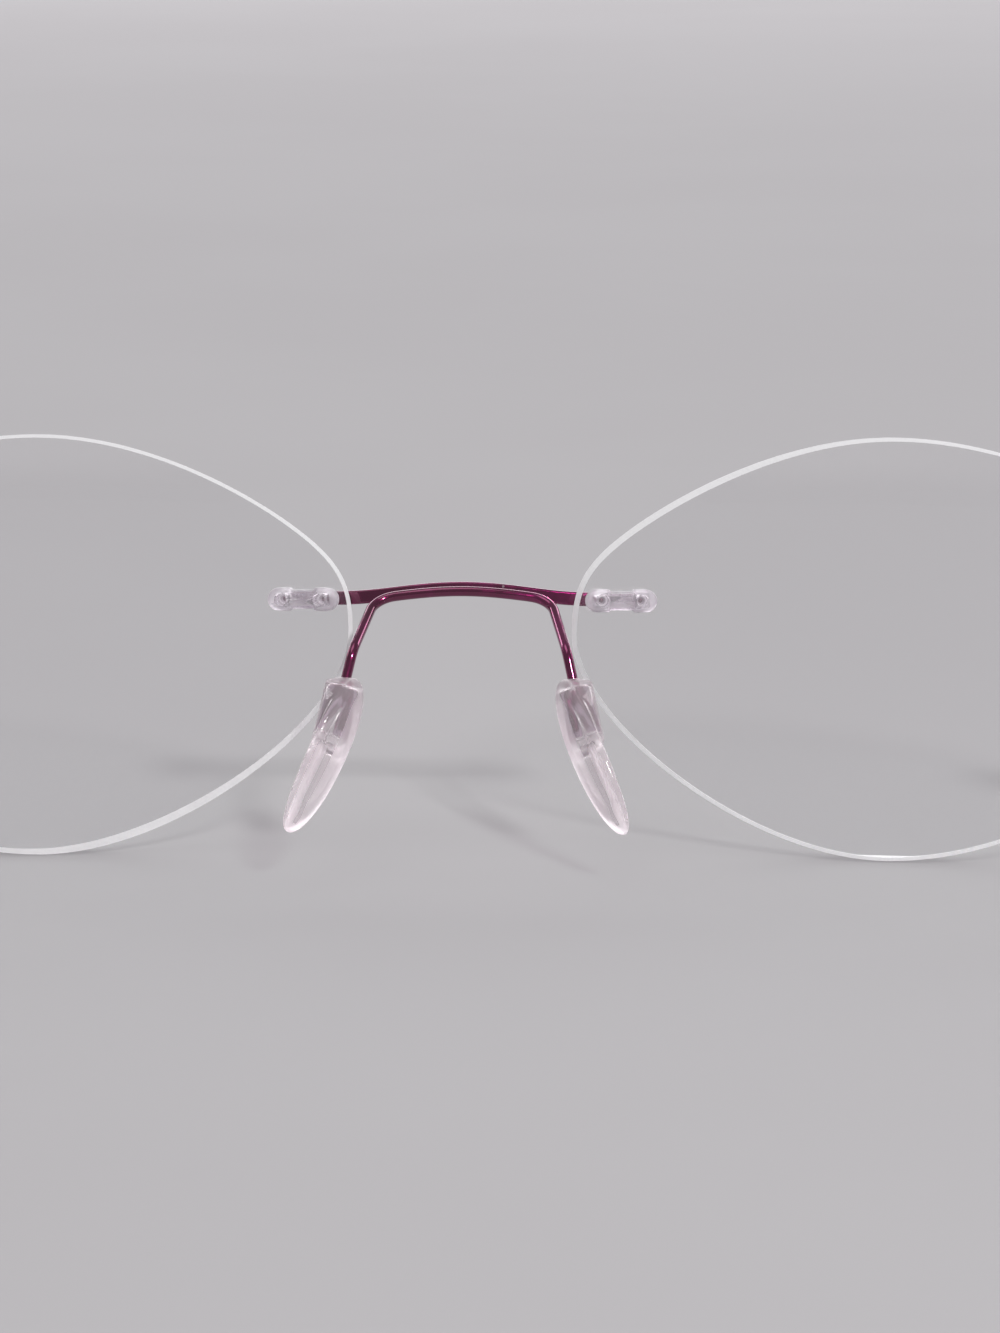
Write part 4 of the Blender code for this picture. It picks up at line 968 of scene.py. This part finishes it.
def makeScrew(side, sign):
    neck = hingeHeight / 2 + holes["fit"]
    top = neck + screw["headHeight"]
    shank = post(screw["radius"], -hingeHeight / 2, neck + screw["headHeight"] / 2, screw["round"],
                 screw["sides"])
    head = post(screw["head"], neck, top, screw["headRound"], 40)
    slot = block(2 * screw["head"] + 2 * screw["slotPast"], screw["slotWidth"], 2 * screw["slotDepth"],
                 screw["slotRound"], (0, 0, top))
    solid = shaped(shank, [slot], [head])
    finished("hingeScrew." + side, "hinge_screw_" + side, "front", solid, hingeFrame(sign), ["bareTitanium"],
             hinge["sharp"])


def makeLeaf(side, sign):
    start = hinge["radius"] + hinge["swing"]
    end = start + leaf["ferrule"]
    barrel = post(hinge["radius"], -hinge["middle"] / 2, hinge["middle"] / 2, leaf["round"])
    tongue = block(hinge["blockWidth"], start + hinge["swing"], hinge["middle"] - 2 * leaf["ease"],
                   leaf["round"], (0, (start + hinge["swing"]) / 2, 0))
    ferrule = swept([(0, start, 0), (0, end, 0)], roundProfile(hinge["radius"], 48), (0, 0, 1), 6,
                    leaf["ferruleRound"], 5, swell=([0, 1], [1, leaf["ferruleEnd"] / hinge["radius"]]))
    socket = rod(temple["radius"] + holes["fit"], end - leaf["socket"], end + leaf["socket"], 0, 40)
    solid = shaped(barrel, [socket, screwHole(holes["through"])], [tongue, ferrule])
    finished("templeLeaf." + side, "temple_leaf_" + side, "temple_" + side, solid, hingeFrame(sign),
             ["plumLacquer"], hinge["sharp"])


def hookAngle():  # downward turn at the ear that brings the rounded end of the tip to the table
    height = carried(hingePoint, frontFrame)[2]
    slope = math.radians(front["restSlope"])
    drop = height + temple["straight"] * math.sin(slope) + temple["restFlat"]
    reach = temple["hook"] - tip["round"]
    down = math.asin(drop / reach)
    for _ in range(temple["hookTries"]):
        under = math.hypot(tip["round"] * math.sin(down), tip["endRadius"] * math.cos(down))
        down = math.asin((drop - under) / reach)
    return down + slope


def tipStart():
    return temple["straight"] - temple["earBend"] * math.tan(hookAngle() / 2) - tip["lead"]


def templePath(sign, start, hook):
    # Straight, bent at the ear, and drawn in towards the head by the square of the way past the tip's start.
    angle = hookAngle()
    corner = np.array([0, temple["straight"], 0])
    lead = np.array([0, tipStart(), 0])
    end = corner + np.array([0, math.cos(angle), -math.sin(angle)]) * hook
    rough = roundedPath([lead, corner, end], [temple["earBend"]], temple["bendSteps"])
    path, _ = alongPath(rough, np.linspace(0, pathLength(rough), temple["pathPoints"]))
    span = temple["straight"] + temple["hook"] * math.cos(angle) - lead[1]
    path[:, 0] -= sign * temple["toeIn"] * ((path[:, 1] - lead[1]) / span) ** 2
    if start < lead[1]:
        path = np.concatenate([[(0, start, 0)], path])
    return path


def makeTempleWire(side, sign):
    start = hinge["radius"] + hinge["swing"] + leaf["ferrule"] - leaf["socket"] + holes["fit"]
    path = templePath(sign, start, temple["hook"] - tip["wall"])
    wire = swept(path, roundProfile(temple["radius"], temple["sides"]), (1, 0, 0), temple["rows"],
                 temple["endRound"], 4)
    finished("templeWire." + side, "temple_wire_" + side, "temple_" + side, wire, hingeFrame(sign),
             ["plumLacquer"])


def makeTempleTip(side, sign):
    # Radius = a soft step from the thin to the full one along the tip, then a cosine over the dome at its end.
    path = templePath(sign, tipStart(), temple["hook"] - tip["round"])
    length = pathLength(path)
    total = length + tip["round"]
    path = np.concatenate([path, [path[-1] + unit(path[-1] - path[-2]) * tip["round"]]])
    share = np.linspace(0, 1, tip["stops"])
    radii = tip["startRadius"] + (tip["endRadius"] - tip["startRadius"]) * smooth(share / tip["fullAfter"])
    dome = np.linspace(0, tip["domeTop"], tip["domeStops"])[1:] * math.pi / 180
    stops = np.concatenate([share * length / total, (length + tip["round"] * np.sin(dome)) / total])
    radii = np.concatenate([radii, tip["endRadius"] * np.cos(dome)])
    whole = swept(path, roundProfile(1.0, tip["sides"]), (1, 0, 0), tip["rows"], swell=(stops, radii))
    inner = templePath(sign, tipStart() - tip["lead"], temple["hook"] - tip["wall"] + holes["fit"])
    profile = roundProfile(temple["radius"] + holes["fit"], temple["sides"])
    bore = swept(inner, profile, (1, 0, 0), tip["boreRows"])
    solid = shaped(whole, [bore])
    finished("templeTip." + side, "temple_tip_" + side, "temple_" + side, solid, hingeFrame(sign),
             ["plumAcetate"], tip["sharp"], onTable=True)


for side, sign in sides.items():
    makeEndpiece(side, sign)
    makeScrew(side, sign)
    makeLeaf(side, sign)
    makeTempleWire(side, sign)
    makeTempleTip(side, sign)
print("endpieces, hinges and temples made")


# Floor, light and camera, in metres

stage = {"floor": ((0.46, 0.447, 0.457, 1), (0.47, 0.458, 0.468, 1)), "patchScale": 7.0, "roughness": 0.85,
         "size": 3.2, "lower": 0.00003, "world": (0.80, 0.79, 0.82, 1), "worldStrength": 0.38}
white = (1.0, 1.0, 1.0)
lamps = {  # place, aim, size, watts and colour
    "backScreen": ((0.0, -1.4, 0.66), (0, -0.06, 0.5), (2.2, 1.2), 16.0, (1.0, 0.985, 1.0)),
    "topLight": ((0.15, 0.05, 0.9), (0, -0.05, 0.01), (0.5, 0.5), 1.0, white),
    "cameraLight": ((-0.28, 0.45, 0.5), (0, -0.06, 0.01), (0.1, 0.1), 2.8, white),
    "leftLight": ((0.75, -0.5, 0.4), (0, -0.06, 0.02), (0.2, 0.45), 0.9, white),
    "rightLight": ((-0.75, -0.5, 0.4), (0, -0.06, 0.02), (0.2, 0.45), 0.9, white),
}
view = {"azimuth": 182.0, "elevation": 13.5, "roll": -0.13, "distance": 325.0, "target": (-3.23, -66.0, 16.23),
        "pixels": 3975.0, "frameHeight": 1333.0, "sensor": 36.0, "clip": (0.01, 20)}


def makeFloor():
    half, low = stage["size"] / 2, -stage["lower"]
    mesh = bpy.data.meshes.new("floor")
    mesh.from_pydata([(-half, -half, low), (half, -half, low), (half, half, low), (-half, half, low)], [],
                     [(0, 1, 2, 3)])
    floor = newObject("floor", mesh)
    material, tree, shader, at = newFinish("paleFloor", {"Metallic": 0.0, "Roughness": stage["roughness"]})
    tree.links.new(blended(tree, patches(tree, at, stage["patchScale"], 0.0, 1.0), *stage["floor"]),
                   shader.inputs["Base Color"])
    mesh.materials.append(material)


def makeWorld():
    world = bpy.data.worlds.new("studio")
    bpy.context.scene.world = world
    world.use_nodes = True
    background = world.node_tree.nodes["Background"]
    background.inputs["Color"].default_value = stage["world"]
    background.inputs["Strength"].default_value = stage["worldStrength"]


def levelFrame(direction, place):  # z along a direction, x level: lamps and cameras look the other way
    side = unit(np.cross((0, 0, 1), direction))
    matrix = np.eye(4)
    matrix[:3, :3] = np.stack([side, np.cross(direction, side), direction], -1)
    matrix[:3, 3] = place
    return matrix


def softLight(name, place, aim, size, power, colour):
    light = bpy.data.lights.new(name, "AREA")
    light.shape = "RECTANGLE"
    light.size, light.size_y = size
    light.energy, light.color = power, colour
    lamp = newObject(name, light)
    lamp.matrix_world = Matrix(levelFrame(unit(np.array(place) - np.array(aim)), place).tolist())


def makeCamera():
    around, rise = math.radians(view["azimuth"]), math.radians(view["elevation"])
    back = np.array([math.sin(around) * math.cos(rise), -math.cos(around) * math.cos(rise), math.sin(rise)])
    place = (np.array(view["target"]) + back * view["distance"]) * mm
    matrix = levelFrame(back, place) @ turned(2, view["roll"])
    data = bpy.data.cameras.new("camera")
    data.sensor_width = view["sensor"]
    data.lens = view["pixels"] / view["frameHeight"] * data.sensor_width
    data.clip_start, data.clip_end = view["clip"]
    camera = newObject("camera", data)
    camera.matrix_world = Matrix(matrix.tolist())
    bpy.context.scene.camera = camera


makeFloor()
makeWorld()
for name, lamp in lamps.items():
    softLight(name, *lamp)
makeCamera()
bpy.context.scene.view_settings.view_transform = "Standard"
print("floor, lights and camera made")
